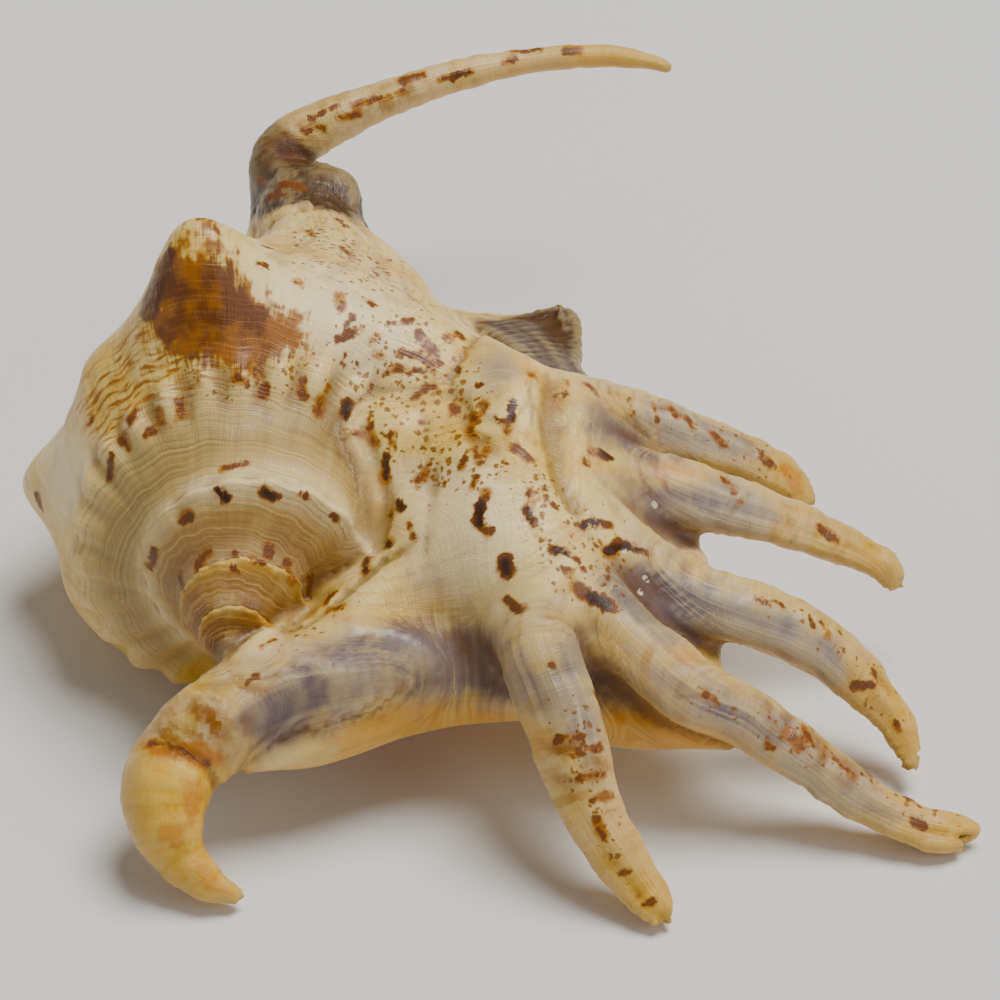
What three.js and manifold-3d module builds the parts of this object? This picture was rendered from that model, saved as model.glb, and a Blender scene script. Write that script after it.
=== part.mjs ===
// Orange spider conch shell, in millimetres, lying with its opening down as a shell does on a table.
// +Y runs from the apex of the spire to the siphonal canal, +X to the flared lip, +Z up.
// The shell is modelled about its coiling axis, with the apex at (0, 0, AXIS_HEIGHT), and is then
// moved so that the origin is under the middle of its outline, on the surface it rests on.

import * as THREE from 'three';
import { mergeVertices } from 'three/addons/utils/BufferGeometryUtils.js';
import Module from 'manifold-3d';

const wasm = await Module();
wasm.setup();

// Driving dimensions of the coil
const AXIS_HEIGHT = 20;
const LIP_ANGLE = -60;

// The middle of the outline, seen from above, measured from the apex
const MIDDLE_X = 26.75;
const MIDDLE_Y = 39.7;

// The facets of the body: steps round the axis, and distances from the apex as start, end and step
const AROUND = 44;
const BODY_RINGS = [[0.2, 14.45, 0.75], [15.5, 49.5, 2], [52, 84, 4]];

// The spiral ridge of the spire: turns back from the lip, radius, distance from the apex
const SPIRE_RIDGE = [
  [1.0, 17.5, 16], [1.2, 16, 16.5], [1.24, 16.8, 21], [1.27, 16.2, 25.2], [1.3, 15.5, 28],
  [1.45, 15.9, 24.5], [1.6, 16.7, 20.2], [1.7, 17.4, 15.8], [1.8, 17.7, 13.6], [2.0, 16.8, 13.6],
  [2.2, 14.6, 13.6], [2.45, 12.2, 12.6], [2.75, 10.6, 11], [3.0, 9.2, 9.4], [3.45, 6.9, 7],
  [3.9, 5.2, 4.5], [4.45, 4.2, 2.6], [4.95, 2.7, 1.4], [5.45, 1.6, 0.7], [6.0, 0.6, 0.1],
];
const SPIRE_TURNS = 5;

// The wall between one ridge of the spire and the next: share of the way forward, share of the growth
const SPIRE_WALL = [[0.45, 0.1], [0.88, 0.75]];
const LAST_SPIRE_WALL = [[0.45, 0.35], [0.88, 0.75]];

// The shoulder from the last suture to the keel, in the same shares, after a small ledge at the suture
const SUTURE_LEDGE = [0.6, 1];
const SHOULDER = [[0.3, 0.5], [0.62, 0.87]];

// The keel of the last whorl: angle round the axis, radius, distance from the apex
const KEEL = [
  [-60, 22.5, 30], [-30, 24, 32], [0, 26, 34], [10, 28, 35], [20, 29.5, 35.5], [37, 25.8, 37],
  [48, 23.3, 37], [65, 22, 37], [89, 22, 37], [101, 23.6, 37], [111, 24.7, 36.5],
  [118, 23.8, 36], [130, 21.6, 35], [147, 20.8, 33.5], [165, 21.6, 32], [180, 22, 31],
  [193, 22.6, 28], [206, 23.5, 22], [214, 22.9, 20], [224, 21.4, 18], [240, 19, 17],
  [262, 20, 17], [300, 20.6, 17],
];

// Past the keel its radius is held under FRONT_RADIUS within FRONT_BLEND, and within KEEL_RETURN the
// slope is measured from KEEL_FRONT all round, where it has become even
const KEEL_FRONT = 37;
const FRONT_RADIUS = 26;
const FRONT_BLEND = 6;
const KEEL_RETURN = 14;

// The slope from the keel to the canal: distance past the keel, share of the keel's radius on the
// back of the shell, share on its underside, which stays full until it is close to level
const UNDERSIDE_FULLNESS = 0.7;
const FRONT_SLOPE = [
  [0, 1, 1], [6, 0.9, 1], [13.5, 0.67, 1], [21.5, 0.5, 0.9], [27, 0.39, 0.78], [34, 0.27, 0.53],
  [41, 0.25, 0.38], [47, 0.13, 0.17],
];

// The neck leans towards the lip on its way to the canal: distance from the apex, shift in X
const NECK_SHIFT = [[40, 0], [50, 3], [58, 4.3], [63, 4], [70, 2.6], [77.5, 1], [84, -2]];

// Knobs on the keel: angle, distance from the apex, height, spread in degrees, spread in mm
const KNOBS = [
  [101, 37, 4.6, 8.5, 5], [102, 37, 2.5, 5, 3], [148, 34, 1.6, 5.5, 3],
  [191, 32.5, 5.8, 7.5, 3.8], [20, 33.5, 2.6, 10, 4.5],
];

// The digits of the lip and the canal: x, y, z and radius of points along each, root to tip
const DIGITS = {
  digit_1: [
    [25, 9, 16, 1.5], [20, 4, 16.6, 4], [13.6, 1, 17.3, 5.2], [6.3, -1, 16, 5.7], [0.2, -3.8, 14, 5.5],
    [-4.1, -6.5, 12, 5.2], [-6, -10.2, 10, 4.9], [-5.6, -13, 7.5, 4.1], [-4.1, -15.3, 5, 3.1],
    [-1.5, -17, 3, 2.2], [1.9, -17.8, 1.6, 1],
  ],
  digit_2: [
    [27.5, 11, 27, 1.5], [31.1, 6.5, 24.5, 3.5], [33.1, 0, 21.2, 4], [35.7, -5, 16.5, 3.9],
    [37.7, -9, 12, 3.5], [40, -12, 8, 3.2], [42.6, -14.2, 4.8, 2.9], [45.4, -16.7, 2.6, 2.2],
    [47.4, -18.9, 1.3, 1.2],
  ],
  digit_3: [
    [28.5, 15.5, 27.5, 1.5], [34, 10, 25, 3.4], [41, 4.5, 21.5, 3.9], [48.5, 1, 16.5, 3.7],
    [55, 0.4, 12.5, 3.2], [61.5, -1, 8.5, 2.9], [67, -2.6, 5, 2.5], [72.5, -3.8, 3, 2.1],
    [77, -3.8, 2, 1.8], [80.2, -3.8, 1.3, 1],
  ],
  digit_4: [
    [28.5, 19, 28, 1.5], [35, 17.1, 26, 3.3], [41, 14.2, 22.5, 3.8], [47.6, 11.8, 20, 3.7],
    [54.6, 11.1, 18, 3.5], [61.2, 11.4, 14.5, 3.4], [66.5, 10.5, 10, 3.1], [70, 8.8, 6.5, 2.4],
    [72.2, 6.8, 4.8, 1.7], [73, 4.9, 3.6, 1],
  ],
  digit_5: [
    [27, 23.5, 28.5, 1.5], [32.5, 25.1, 28, 3.3], [39, 24.6, 25, 3.7], [46.6, 25.3, 22.5, 3.6],
    [53.7, 26, 20, 2.9], [60.1, 26.9, 17, 2.4], [65.5, 27.1, 14.5, 2], [68.6, 26.9, 12.5, 1.6],
    [70.3, 25.9, 10.8, 1],
  ],
  digit_6: [
    [26, 30, 28.5, 1.5], [32, 30.4, 29.5, 3.1], [37.5, 32.2, 27.8, 3.3], [43, 33.1, 25.5, 3.1],
    [48.5, 33.9, 23, 2.8], [54, 34.7, 20, 2.4], [58.2, 34.7, 17.5, 1.8], [60.4, 33.5, 15.8, 1],
  ],
  canal: [
    [2.5, 68, 18, 6], [0.6, 78.5, 19, 5], [-2.5, 83.3, 20, 4.2], [-2.7, 86, 22, 3.6],
    [0.3, 87.6, 24, 3.1], [5.4, 89.3, 26, 2.6], [11.6, 91.2, 28, 2.2], [18.5, 93.3, 29.5, 1.9],
    [26.5, 96, 30, 1.55], [34.5, 97.7, 30, 1.3], [39.5, 98.1, 29.5, 1.05], [43, 97.6, 29, 0.7],
  ],
};
const DIGIT_SIDES = 10;
const DIGIT_STEP = 4;

// The flared lip: five points on the upper face of each of its ribs, from the body out to the edge
const LIP_RIBS = [
  [[3, 1, 16], [1.5, -0.5, 16.5], [0.5, -2.5, 16.2], [0, -5, 14.5], [0, -6.8, 12.2]],
  [[8, 20, 16], [9.5, 7.5, 20], [10, 1.2, 19.5], [10, -2.6, 15], [9, -6.2, 11]],
  [[9, 22, 19], [16.3, 11, 24], [18, 6, 21], [18, 2, 15.5], [18, -0.2, 11.5]],
  [[10, 23.5, 24], [20.5, 12.5, 28], [23.5, 6.5, 23], [24.5, 3, 16.5], [24.5, 1, 12]],
  [[10, 25, 27.5], [27, 14.5, 30], [30.5, 5.5, 26], [32.5, 2, 18.5], [32, 0.5, 12]],
  [[10, 27, 29], [30.2, 14.5, 30.5], [36, 8, 23.5], [41.5, 3.5, 16], [46, -0.1, 11]],
  [[10, 29, 30], [31, 16.5, 30.7], [37.5, 10, 24.5], [45, 4, 17.5], [53.5, 1, 11.5]],
  [[11, 31, 30], [31.5, 18.5, 31], [38.5, 13, 25.5], [45.5, 9.5, 19.5], [52.5, 8.7, 14.5]],
  [[12, 33, 30], [31.5, 21.5, 31.5], [38.5, 18, 26.3], [44.8, 19, 21.5], [50, 22.2, 17.3]],
  [[13, 35, 29.5], [31.5, 25, 31.7], [38, 25.5, 27.8], [43, 27, 24], [47, 28.5, 21.5]],
  [[14, 37, 29], [30.2, 31, 31.6], [35, 34, 28.7], [37.5, 36.5, 26.7], [40, 38.5, 24.7]],
  [[14, 40, 27.5], [26.5, 38.7, 29], [32, 43.5, 25.7], [34.5, 46.5, 23], [35.5, 47, 21.5]],
  [[14, 43, 26], [23.5, 45, 26], [29.5, 51, 23], [33, 53.5, 21], [35, 54, 20.7]],
  [[13, 46, 24], [20.5, 51, 23.3], [26, 56.3, 21], [30.5, 59.7, 19.7], [33.2, 60.3, 20.7]],
  [[12, 50, 22], [17.5, 55, 21.3], [20.5, 58.5, 20], [24, 60.8, 19], [28, 61.5, 18.7]],
];
const LIP_THICKNESS = [11, 9, 5.5, 3.8, 2.6];

// The rear end of the lip starts at a share of that thickness and is full after a share of its length
const LIP_THIN_END = 0.35;
const LIP_FULL_BY = 0.12;
const LIP_STEPS_ALONG = 28;
const LIP_STEPS_ACROSS = 9;

// The small upturned lobe between the notch of the lip and the canal
const NOTCH_LOBE = [[1, 76, 21, 5.2], [4, 77.5, 22.5, 4.2], [6.3, 77.3, 24, 2.1]];

// The opening and the room behind it: x, z, half-width and half-height at distances from the apex
const APERTURE = [
  [4, 16, 11, 2.5, 3.5], [12, 16, 11, 4, 9], [24, 15, 11, 5.2, 12], [36, 13.5, 11.5, 5.6, 12.5],
  [48, 12, 11.5, 5.2, 12], [58, 9, 11, 4.4, 10.5], [68, 5, 11.5, 3.4, 8.5], [77, 1, 12.5, 2.4, 6],
  [84, -2, 14.5, 1.5, 4],
];
const APERTURE_SIDES = 14;
const CHAMBER_CENTRE = [5, 38, 24];
const CHAMBER_HALF_SIZE = [12, 14, 12];
const CHAMBER_FACETS = [18, 12];

// A block that cuts the underside level with the surface the shell rests on
const GROUND_SIZE = [300, 300, 50];

const shellMaterial = new THREE.MeshStandardMaterial({ color: 0xdcc79c, roughness: 0.4 });

// A value between the rows of a table: column 0 is the place, the others are values
function lookUp(table, place, column) {
  const last = table.length - 1;
  if (place <= table[0][0]) return table[0][column];
  if (place >= table[last][0]) return table[last][column];
  let row = 0;
  while (table[row + 1][0] < place) row += 1;
  const share = (place - table[row][0]) / (table[row + 1][0] - table[row][0]);
  return THREE.MathUtils.lerp(table[row][column], table[row + 1][column], share);
}

// A closed solid through rings of equal length, its ends fanned to their middles
function loft(rings) {
  const sides = rings[0].length;
  const points = rings.flat();
  const triangles = [];
  for (let ring = 0; ring < rings.length - 1; ring += 1) {
    for (let side = 0; side < sides; side += 1) {
      const next = (side + 1) % sides;
      const a = ring * sides + side;
      const b = ring * sides + next;
      triangles.push(a, b, b + sides, a, b + sides, a + sides);
    }
  }
  for (const ring of [0, rings.length - 1]) {
    const middle = rings[ring].reduce((sum, point) => sum.add(point), new THREE.Vector3());
    points.push(middle.divideScalar(sides));
    for (let side = 0; side < sides; side += 1) {
      const a = ring * sides + side;
      const b = ring * sides + ((side + 1) % sides);
      const fan = ring === 0 ? [points.length - 1, b, a] : [points.length - 1, a, b];
      triangles.push(...fan);
    }
  }
  const geometry = new THREE.BufferGeometry().setFromPoints(points);
  geometry.setIndex(triangles);
  return solid(geometry);
}

// A closed geometry as a solid that can be joined and cut. One whose faces look inward is turned
function solid(geometry) {
  geometry.deleteAttribute('normal');
  geometry.deleteAttribute('uv');
  const merged = mergeVertices(geometry, 1e-4);
  const vertProperties = new Float32Array(merged.attributes.position.array);
  const triVerts = new Uint32Array(merged.index.array);
  if (volumeOf(vertProperties, triVerts) < 0) {
    for (let i = 0; i < triVerts.length; i += 3) {
      [triVerts[i], triVerts[i + 1]] = [triVerts[i + 1], triVerts[i]];
    }
  }
  return new wasm.Manifold(new wasm.Mesh({ numProp: 3, vertProperties, triVerts }));
}

// The volume inside a closed surface, negative if its faces look inward
function volumeOf(vertices, triangles) {
  const corner = (index) => new THREE.Vector3().fromArray(vertices, 3 * index);
  let volume = 0;
  for (let i = 0; i < triangles.length; i += 3) {
    const [a, b, c] = [corner(triangles[i]), corner(triangles[i + 1]), corner(triangles[i + 2])];
    volume += a.dot(b.cross(c)) / 6;
  }
  return volume;
}

// A geometry put in its place, as a solid
function solidOf(geometry, position) {
  return solid(geometry.translate(...position));
}

// Distance from the apex and radius of points from the apex to the canal, on one side of the shell
function sideProfile(angle) {
  const turned = THREE.MathUtils.euclideanModulo(angle - LIP_ANGLE, 360);
  const profile = [[0, 0]];
  let inner = null;
  for (let turn = SPIRE_TURNS; turn >= 1; turn -= 1) {
    const radius = lookUp(SPIRE_RIDGE, turned / 360 + turn, 1);
    const depth = lookUp(SPIRE_RIDGE, turned / 360 + turn, 2);
    if (inner) {
      profile.push(...between(inner, [depth, radius], turn > 1 ? SPIRE_WALL : LAST_SPIRE_WALL));
    }
    profile.push([depth, radius]);
    inner = [depth, radius];
  }
  const suture = inner[0];
  const keelRadius = lookUp(KEEL, LIP_ANGLE + turned, 1);
  const keel = lookUp(KEEL, LIP_ANGLE + turned, 2);
  if (keel > suture + 2) {
    profile.push([suture + SUTURE_LEDGE[0], inner[1] + SUTURE_LEDGE[1]]);
    profile.push(...between(inner, [keel, keelRadius], SHOULDER));
  }
  const facingDown = Math.max(0, -Math.sin(THREE.MathUtils.degToRad(angle)));
  const underside = facingDown ** UNDERSIDE_FULLNESS;
  const frontRadius = Math.min(keelRadius, FRONT_RADIUS);
  for (const [past, shareAbove, shareUnder] of FRONT_SLOPE) {
    const depth = keel + past + (KEEL_FRONT - keel) * Math.min(1, past / KEEL_RETURN);
    const radius = THREE.MathUtils.lerp(keelRadius, frontRadius, Math.min(1, past / FRONT_BLEND));
    const share = THREE.MathUtils.lerp(shareAbove, shareUnder, underside);
    if (depth > suture + 1) profile.push([depth, radius * share]);
  }
  return profile;
}

// Points between two places of a profile, at shares of the way forward and of the growth
function between(from, to, shares) {
  return shares.map(([forward, growth]) => [
    THREE.MathUtils.lerp(from[0], to[0], forward),
    THREE.MathUtils.lerp(from[1], to[1], growth),
  ]);
}

// How far the knobs stand out from the body at a place
function knobHeight(angle, depth) {
  let height = 0;
  for (const [knobAngle, knobDepth, rise, spread, length] of KNOBS) {
    const turn = THREE.MathUtils.euclideanModulo(angle - knobAngle + 180, 360) - 180;
    height += rise * Math.exp(-0.5 * (turn / spread) ** 2 - 0.5 * ((depth - knobDepth) / length) ** 2);
  }
  return height;
}

// Spire and last whorl as one solid
function body() {
  const depths = [];
  for (const [start, end, step] of BODY_RINGS) {
    for (let depth = start; depth <= end; depth += step) depths.push(depth);
  }
  const profiles = [];
  for (let i = 0; i < AROUND; i += 1) profiles.push(sideProfile((360 * i) / AROUND));
  const rings = depths.map((depth) => profiles.map((profile, i) => {
    const angle = (360 * i) / AROUND;
    const radius = lookUp(profile, depth, 1) + knobHeight(angle, depth);
    const turn = THREE.MathUtils.degToRad(angle);
    const shift = lookUp(NECK_SHIFT, depth, 1);
    return new THREE.Vector3(
      shift + radius * Math.cos(turn), depth, AXIS_HEIGHT + radius * Math.sin(turn),
    );
  }));
  return loft(rings);
}

// A round tapered solid along a curve, with a blunt tip
function taperedTube(points) {
  const path = new THREE.CatmullRomCurve3(points.map(([x, y, z]) => new THREE.Vector3(x, y, z)));
  const radii = new THREE.CatmullRomCurve3(points.map((point) => new THREE.Vector3(point[3], 0, 0)));
  const steps = Math.round(path.getLength() / DIGIT_STEP);
  const frames = path.computeFrenetFrames(steps);
  const rings = [];
  for (let step = 0; step <= steps; step += 1) {
    const share = path.getUtoTmapping(step / steps);
    const centre = path.getPoint(share);
    const radius = radii.getPoint(share).x;
    const ring = [];
    for (let side = 0; side < DIGIT_SIDES; side += 1) {
      const turn = (2 * Math.PI * side) / DIGIT_SIDES;
      ring.push(centre.clone()
        .addScaledVector(frames.normals[step], radius * Math.cos(turn))
        .addScaledVector(frames.binormals[step], radius * Math.sin(turn)));
    }
    rings.push(ring);
  }
  return loft(rings);
}

// The flared lip as one slab, thick at the body and thin at the edge
function lip() {
  const columns = LIP_THICKNESS.map((_, across) => {
    const curve = new THREE.CatmullRomCurve3(LIP_RIBS.map((rib) => new THREE.Vector3(...rib[across])));
    return curve.getPoints(LIP_STEPS_ALONG);
  });
  const thickness = new THREE.CatmullRomCurve3(LIP_THICKNESS.map((z) => new THREE.Vector3(0, 0, z)));
  const drops = thickness.getPoints(LIP_STEPS_ACROSS);
  const rings = [];
  for (let along = 0; along <= LIP_STEPS_ALONG; along += 1) {
    const upper = new THREE.CatmullRomCurve3(columns.map((column) => column[along]));
    const top = upper.getPoints(LIP_STEPS_ACROSS);
    const grown = Math.min(along / LIP_STEPS_ALONG, LIP_FULL_BY);
    const share = THREE.MathUtils.mapLinear(grown, 0, LIP_FULL_BY, LIP_THIN_END, 1);
    const under = top.map((point, i) => point.clone().addScaledVector(drops[i], -share));
    rings.push([...top, ...under.reverse()]);
  }
  return loft(rings);
}

// The opening under the shell: a long slot that widens into the last whorl
function aperture() {
  const rings = APERTURE.map(([depth, x, z, halfWidth, halfHeight]) => {
    const ring = [];
    for (let side = 0; side < APERTURE_SIDES; side += 1) {
      const turn = (2 * Math.PI * side) / APERTURE_SIDES;
      ring.push(new THREE.Vector3(
        x + halfWidth * Math.cos(turn), depth, z + halfHeight * Math.sin(turn),
      ));
    }
    return ring;
  });
  const chamber = new THREE.SphereGeometry(1, ...CHAMBER_FACETS).scale(...CHAMBER_HALF_SIZE);
  return loft(rings).add(solidOf(chamber, CHAMBER_CENTRE));
}

// The whole shell, with its opening cut in and its underside level
function shell() {
  let whole = body().add(lip()).add(taperedTube(NOTCH_LOBE));
  for (const points of Object.values(DIGITS)) whole = whole.add(taperedTube(points));
  const ground = solidOf(new THREE.BoxGeometry(...GROUND_SIZE), [MIDDLE_X, MIDDLE_Y, -GROUND_SIZE[2] / 2]);
  return whole.subtract(aperture()).subtract(ground);
}

// A named mesh of a solid
function meshOf(manifold, name, material) {
  const { vertProperties, triVerts } = manifold.getMesh();
  const geometry = new THREE.BufferGeometry();
  geometry.setAttribute('position', new THREE.BufferAttribute(new Float32Array(vertProperties), 3));
  geometry.setIndex(new THREE.BufferAttribute(new Uint32Array(triVerts), 1));
  geometry.computeVertexNormals();
  const mesh = new THREE.Mesh(geometry, material);
  mesh.name = name;
  return mesh;
}

const conch = new THREE.Group();
const shellMesh = meshOf(shell(), 'shell', shellMaterial);
shellMesh.geometry.translate(-MIDDLE_X, -MIDDLE_Y, 0);
conch.add(shellMesh);

export default conch;
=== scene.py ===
import math

import bpy
import numpy as np
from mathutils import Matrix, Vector
from mathutils.bvhtree import BVHTree


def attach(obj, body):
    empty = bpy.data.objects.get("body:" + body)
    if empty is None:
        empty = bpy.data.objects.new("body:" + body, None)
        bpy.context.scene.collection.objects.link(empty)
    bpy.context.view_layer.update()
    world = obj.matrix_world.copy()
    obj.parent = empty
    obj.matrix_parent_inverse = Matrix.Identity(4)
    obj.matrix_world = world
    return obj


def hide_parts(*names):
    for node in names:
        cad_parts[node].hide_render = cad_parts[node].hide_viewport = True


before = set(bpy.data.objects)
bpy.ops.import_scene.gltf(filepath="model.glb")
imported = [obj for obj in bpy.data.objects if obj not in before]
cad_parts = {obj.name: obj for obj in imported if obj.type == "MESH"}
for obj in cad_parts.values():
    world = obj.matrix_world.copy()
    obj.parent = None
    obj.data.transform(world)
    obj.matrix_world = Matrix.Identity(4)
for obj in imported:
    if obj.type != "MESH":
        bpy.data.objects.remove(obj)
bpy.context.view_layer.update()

# Camera: high in front of the spire, a little to its right, with a long lens, as the photograph was taken
metres_per_mm = 0.001
camera_place = np.array([24.58, -409.19, 352.93])
camera_tilt = math.radians(50)
camera_turn = math.radians(3.5)
photo_width = 1000
focal_pixels = 4750
sensor_width = 36


def placed(name, data):
    made = bpy.data.objects.new(name, data)
    bpy.context.scene.collection.objects.link(made)
    return made


camera_data = bpy.data.cameras.new("camera")
camera_data.sensor_width = sensor_width
camera_data.lens = sensor_width * focal_pixels / photo_width
camera_data.clip_start = 0.01
camera_data.clip_end = 20
camera = placed("camera", camera_data)
camera.location = Vector(camera_place) * metres_per_mm
camera.rotation_euler = (camera_tilt, 0, camera_turn)
bpy.context.scene.camera = camera

# Studio: a plain pale floor that bends up into a backdrop, soft light from above and two wide side lights
floor_half_width = 3.0
floor_front = -4.0
backdrop_top = 3.0
bend_start = 1.6
bend_radius = 0.9
bend_steps = 12


def smooth_object(name, points, faces):
    mesh = bpy.data.meshes.new(name)
    mesh.from_pydata(points, [], faces)
    mesh.polygons.foreach_set("use_smooth", [True] * len(faces))
    return placed(name, mesh)


floor_rows = [(floor_front, 0.0), (bend_start, 0.0)]
for step in range(1, bend_steps + 1):
    turn = math.pi / 2 * step / bend_steps
    floor_rows.append((bend_start + bend_radius * math.sin(turn), bend_radius * (1 - math.cos(turn))))
floor_rows.append((bend_start + bend_radius, backdrop_top))
floor_points = [(side * floor_half_width, y, z) for y, z in floor_rows for side in (-1, 1)]
floor_faces = [(2 * i, 2 * i + 1, 2 * i + 3, 2 * i + 2) for i in range(len(floor_rows) - 1)]
floor = smooth_object("floor", floor_points, floor_faces)
floor_material = bpy.data.materials.new("floor_paper")
floor_material.use_nodes = True
floor_shader = floor_material.node_tree.nodes["Principled BSDF"]
floor_shader.inputs["Base Color"].default_value = (0.78, 0.77, 0.75, 1)
floor_shader.inputs["Roughness"].default_value = 0.85
floor.data.materials.append(floor_material)

# Lights: name, place, width, power and colour
lights = [
    ("light_above", (0.3, 0.2, 1.1), 0.7, 15.5, (1.0, 0.98, 0.95)),
    ("light_left", (-0.9, -0.35, 0.55), 0.6, 0.8, (1.0, 0.97, 0.93)),
    ("light_right", (1.0, -0.5, 0.6), 0.8, 3.0, (0.96, 0.98, 1.0)),
]
for name, place, size, power, colour in lights:
    light_data = bpy.data.lights.new(name, "AREA")
    light_data.shape = "DISK"
    light_data.size = size
    light_data.energy = power
    light_data.color = colour
    light = placed(name, light_data)
    light.location = place
    light.rotation_euler = (-Vector(place)).to_track_quat("-Z", "Y").to_euler()
world = bpy.data.worlds.new("studio")
world.use_nodes = True
background = world.node_tree.nodes["Background"]
background.inputs["Color"].default_value = (0.86, 0.88, 0.9, 1)
background.inputs["Strength"].default_value = 0.21
bpy.context.scene.world = world

# The shell: one piece of lime, laid down turn by turn, last the flared lip with its fingers. It is built in
# mm about the coiling axis, which runs from the apex along +Y at axis_height, as a field of distances to its
# body, lip and fingers, joined with soft fillets and turned into one smooth mesh. At the end its middle is
# moved over the origin
axis_height = 20
middle = np.array([26.75, 39.7, 0])
lip_angle = -60
spire_turns = 5

# The spiral ridge of the spire: turns back from the lip, radius, distance from the apex
spire_ridge = np.array([
    [1.0, 17.5, 16], [1.2, 16, 16.5], [1.24, 16.8, 21], [1.27, 16.2, 25.2], [1.3, 15.5, 28],
    [1.45, 15.9, 24.5], [1.6, 16.7, 20.2], [1.7, 17.4, 15.8], [1.8, 17.7, 13.6], [2.0, 16.8, 13.6],
    [2.2, 14.6, 13.6], [2.45, 12.2, 12.6], [2.75, 10.6, 11], [3.0, 9.2, 9.4], [3.45, 6.9, 7], [3.9, 5.2, 4.5],
    [4.45, 4.2, 2.6], [4.95, 2.7, 1.4], [5.45, 1.6, 0.7], [6.0, 0.6, 0.1],
])

# The walls between two ridges: shares of the way from one to the next, in depth and in radius
spire_wall = [[0.05, -0.22], [0.45, 0.1], [0.88, 0.75]]
last_spire_wall = [[0.05, -0.1], [0.45, 0.33], [0.88, 0.78]]
shoulder = [[0.3, 0.5], [0.62, 0.87]]

# Low beads along the ridge of each turn, from the lip inward: height, degrees from bead to bead, width in mm
beads = [[1.35, 14, 1.3], [0.45, 20, 1.0], [0.3, 19, 0.5], [0.22, 24, 0.4], [0.1, 30, 0.4]]
ramp_hollow = 0.7
ramp_hollow_from_ridge = 5
ramp_hollow_width = 2.4

# The keel of the last whorl: angle round the axis, radius, distance from the apex
keel_rows = np.array([
    [-60, 22.5, 30], [-30, 24, 32], [0, 26, 34], [10, 28, 35], [20, 29.5, 35.5], [37, 25.8, 37],
    [48, 23.3, 37], [65, 22, 37], [89, 22, 37], [101, 23.6, 37], [111, 24.7, 36.5], [118, 23.8, 36],
    [130, 21.6, 35], [147, 20.8, 33.5], [165, 21.6, 32], [180, 22, 31], [193, 22.6, 28], [206, 23.5, 22],
    [214, 22.9, 20], [224, 21.4, 18], [240, 19, 17], [262, 20, 17], [300, 20.6, 17],
])
keel_front = 37
front_radius = 26
front_blend = 6
keel_return = 14

# The slope to the canal: distance past the keel, share of the keel's radius on the back and on the underside
front_slope = [
    [0, 1, 1], [6, 0.9, 1], [13.5, 0.67, 1], [21.5, 0.5, 0.9], [27, 0.39, 0.78], [34, 0.27, 0.53],
    [41, 0.25, 0.38], [47, 0.13, 0.17], [49, 0, 0],
]
body_end = 86
neck_shift = np.array([[40, 0], [50, 3], [58, 4.3], [63, 4], [70, 2.6], [77.5, 1], [84, -2]])

# Knobs on the keel: angle, distance from the apex, height, spread in degrees, spread in mm
knobs = [
    [101, 37, 4.6, 8.5, 5], [102, 37, 2.5, 5, 3], [148, 34, 1.6, 5.5, 3], [191, 32.5, 5.8, 7.5, 3.8],
    [20, 33.5, 2.6, 10, 4.5],
]

# How far the body stands from its axis, on a table of 1 degree by 0.1 mm: crisp on the spire, soft in front
depth_step = 0.1
crisp_spreads = (1.5, 1.2)
soft_spreads = (14, 3.5)
soft_start = 14
soft_run = 12
depths = np.arange(-3, 92, depth_step)
angles = np.arange(360)


def unit(values):
    return np.clip(values, 0, 1)


def looked_up(rows, place, column):
    return np.interp(place, rows[:, 0], rows[:, column])


def shares_between(start, end, shares):
    return [[start[0] + a * (end[0] - start[0]), start[1] + b * (end[1] - start[1])] for a, b in shares]


def side_profile(angle):
    turned = (angle - lip_angle) % 360
    profile = [[0, 0]]
    inner = None
    for turn in range(spire_turns, 0, -1):
        radius, depth = [looked_up(spire_ridge, turned / 360 + turn, k) for k in (1, 2)]
        if inner is not None:
            profile += shares_between(inner, [depth, radius], spire_wall if turn > 1 else last_spire_wall)
        profile.append([depth, radius])
        inner = [depth, radius]
    keel_radius, keel = [looked_up(keel_rows, lip_angle + turned, k) for k in (1, 2)]
    if keel > inner[0] + 2:
        profile.append([inner[0] + 0.6, inner[1] + 1])
        profile += shares_between(inner, [keel, keel_radius], shoulder)
    underside = max(0, -math.sin(math.radians(angle))) ** 0.7
    for past, share_above, share_under in front_slope:
        depth = keel + past + (keel_front - keel) * min(1, past / keel_return)
        even = min(1, past / front_blend)
        radius = keel_radius + even * (min(keel_radius, front_radius) - keel_radius)
        if depth > inner[0] + 1:
            profile.append([depth, radius * (share_above + underside * (share_under - share_above))])
    profile = np.array(profile)
    profile[:, 0] = np.maximum.accumulate(profile[:, 0])
    return np.interp(depths, profile[:, 0], profile[:, 1], left=0, right=0)


def bead_wave(turn, spacing):
    """1 on the tops of the beads of a turn and -1 between them, at each degree round the axis."""
    return np.cos(2 * math.pi * turned / spacing + turn)


def smoothed(values, along_depth, along_angle):
    for axis, spread, mode in ((1, along_depth, "edge"), (0, along_angle, "wrap")):
        reach = int(3 * spread) + 1
        weights = np.exp(-0.5 * (np.arange(-reach, reach + 1) / spread) ** 2)
        weights /= weights.sum()
        pad = [(0, 0), (0, 0)]
        pad[axis] = (reach, reach)
        padded = np.pad(values, pad, mode=mode)
        values = np.apply_along_axis(lambda line: np.convolve(line, weights, mode="valid"), axis, padded)
    return values


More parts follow.
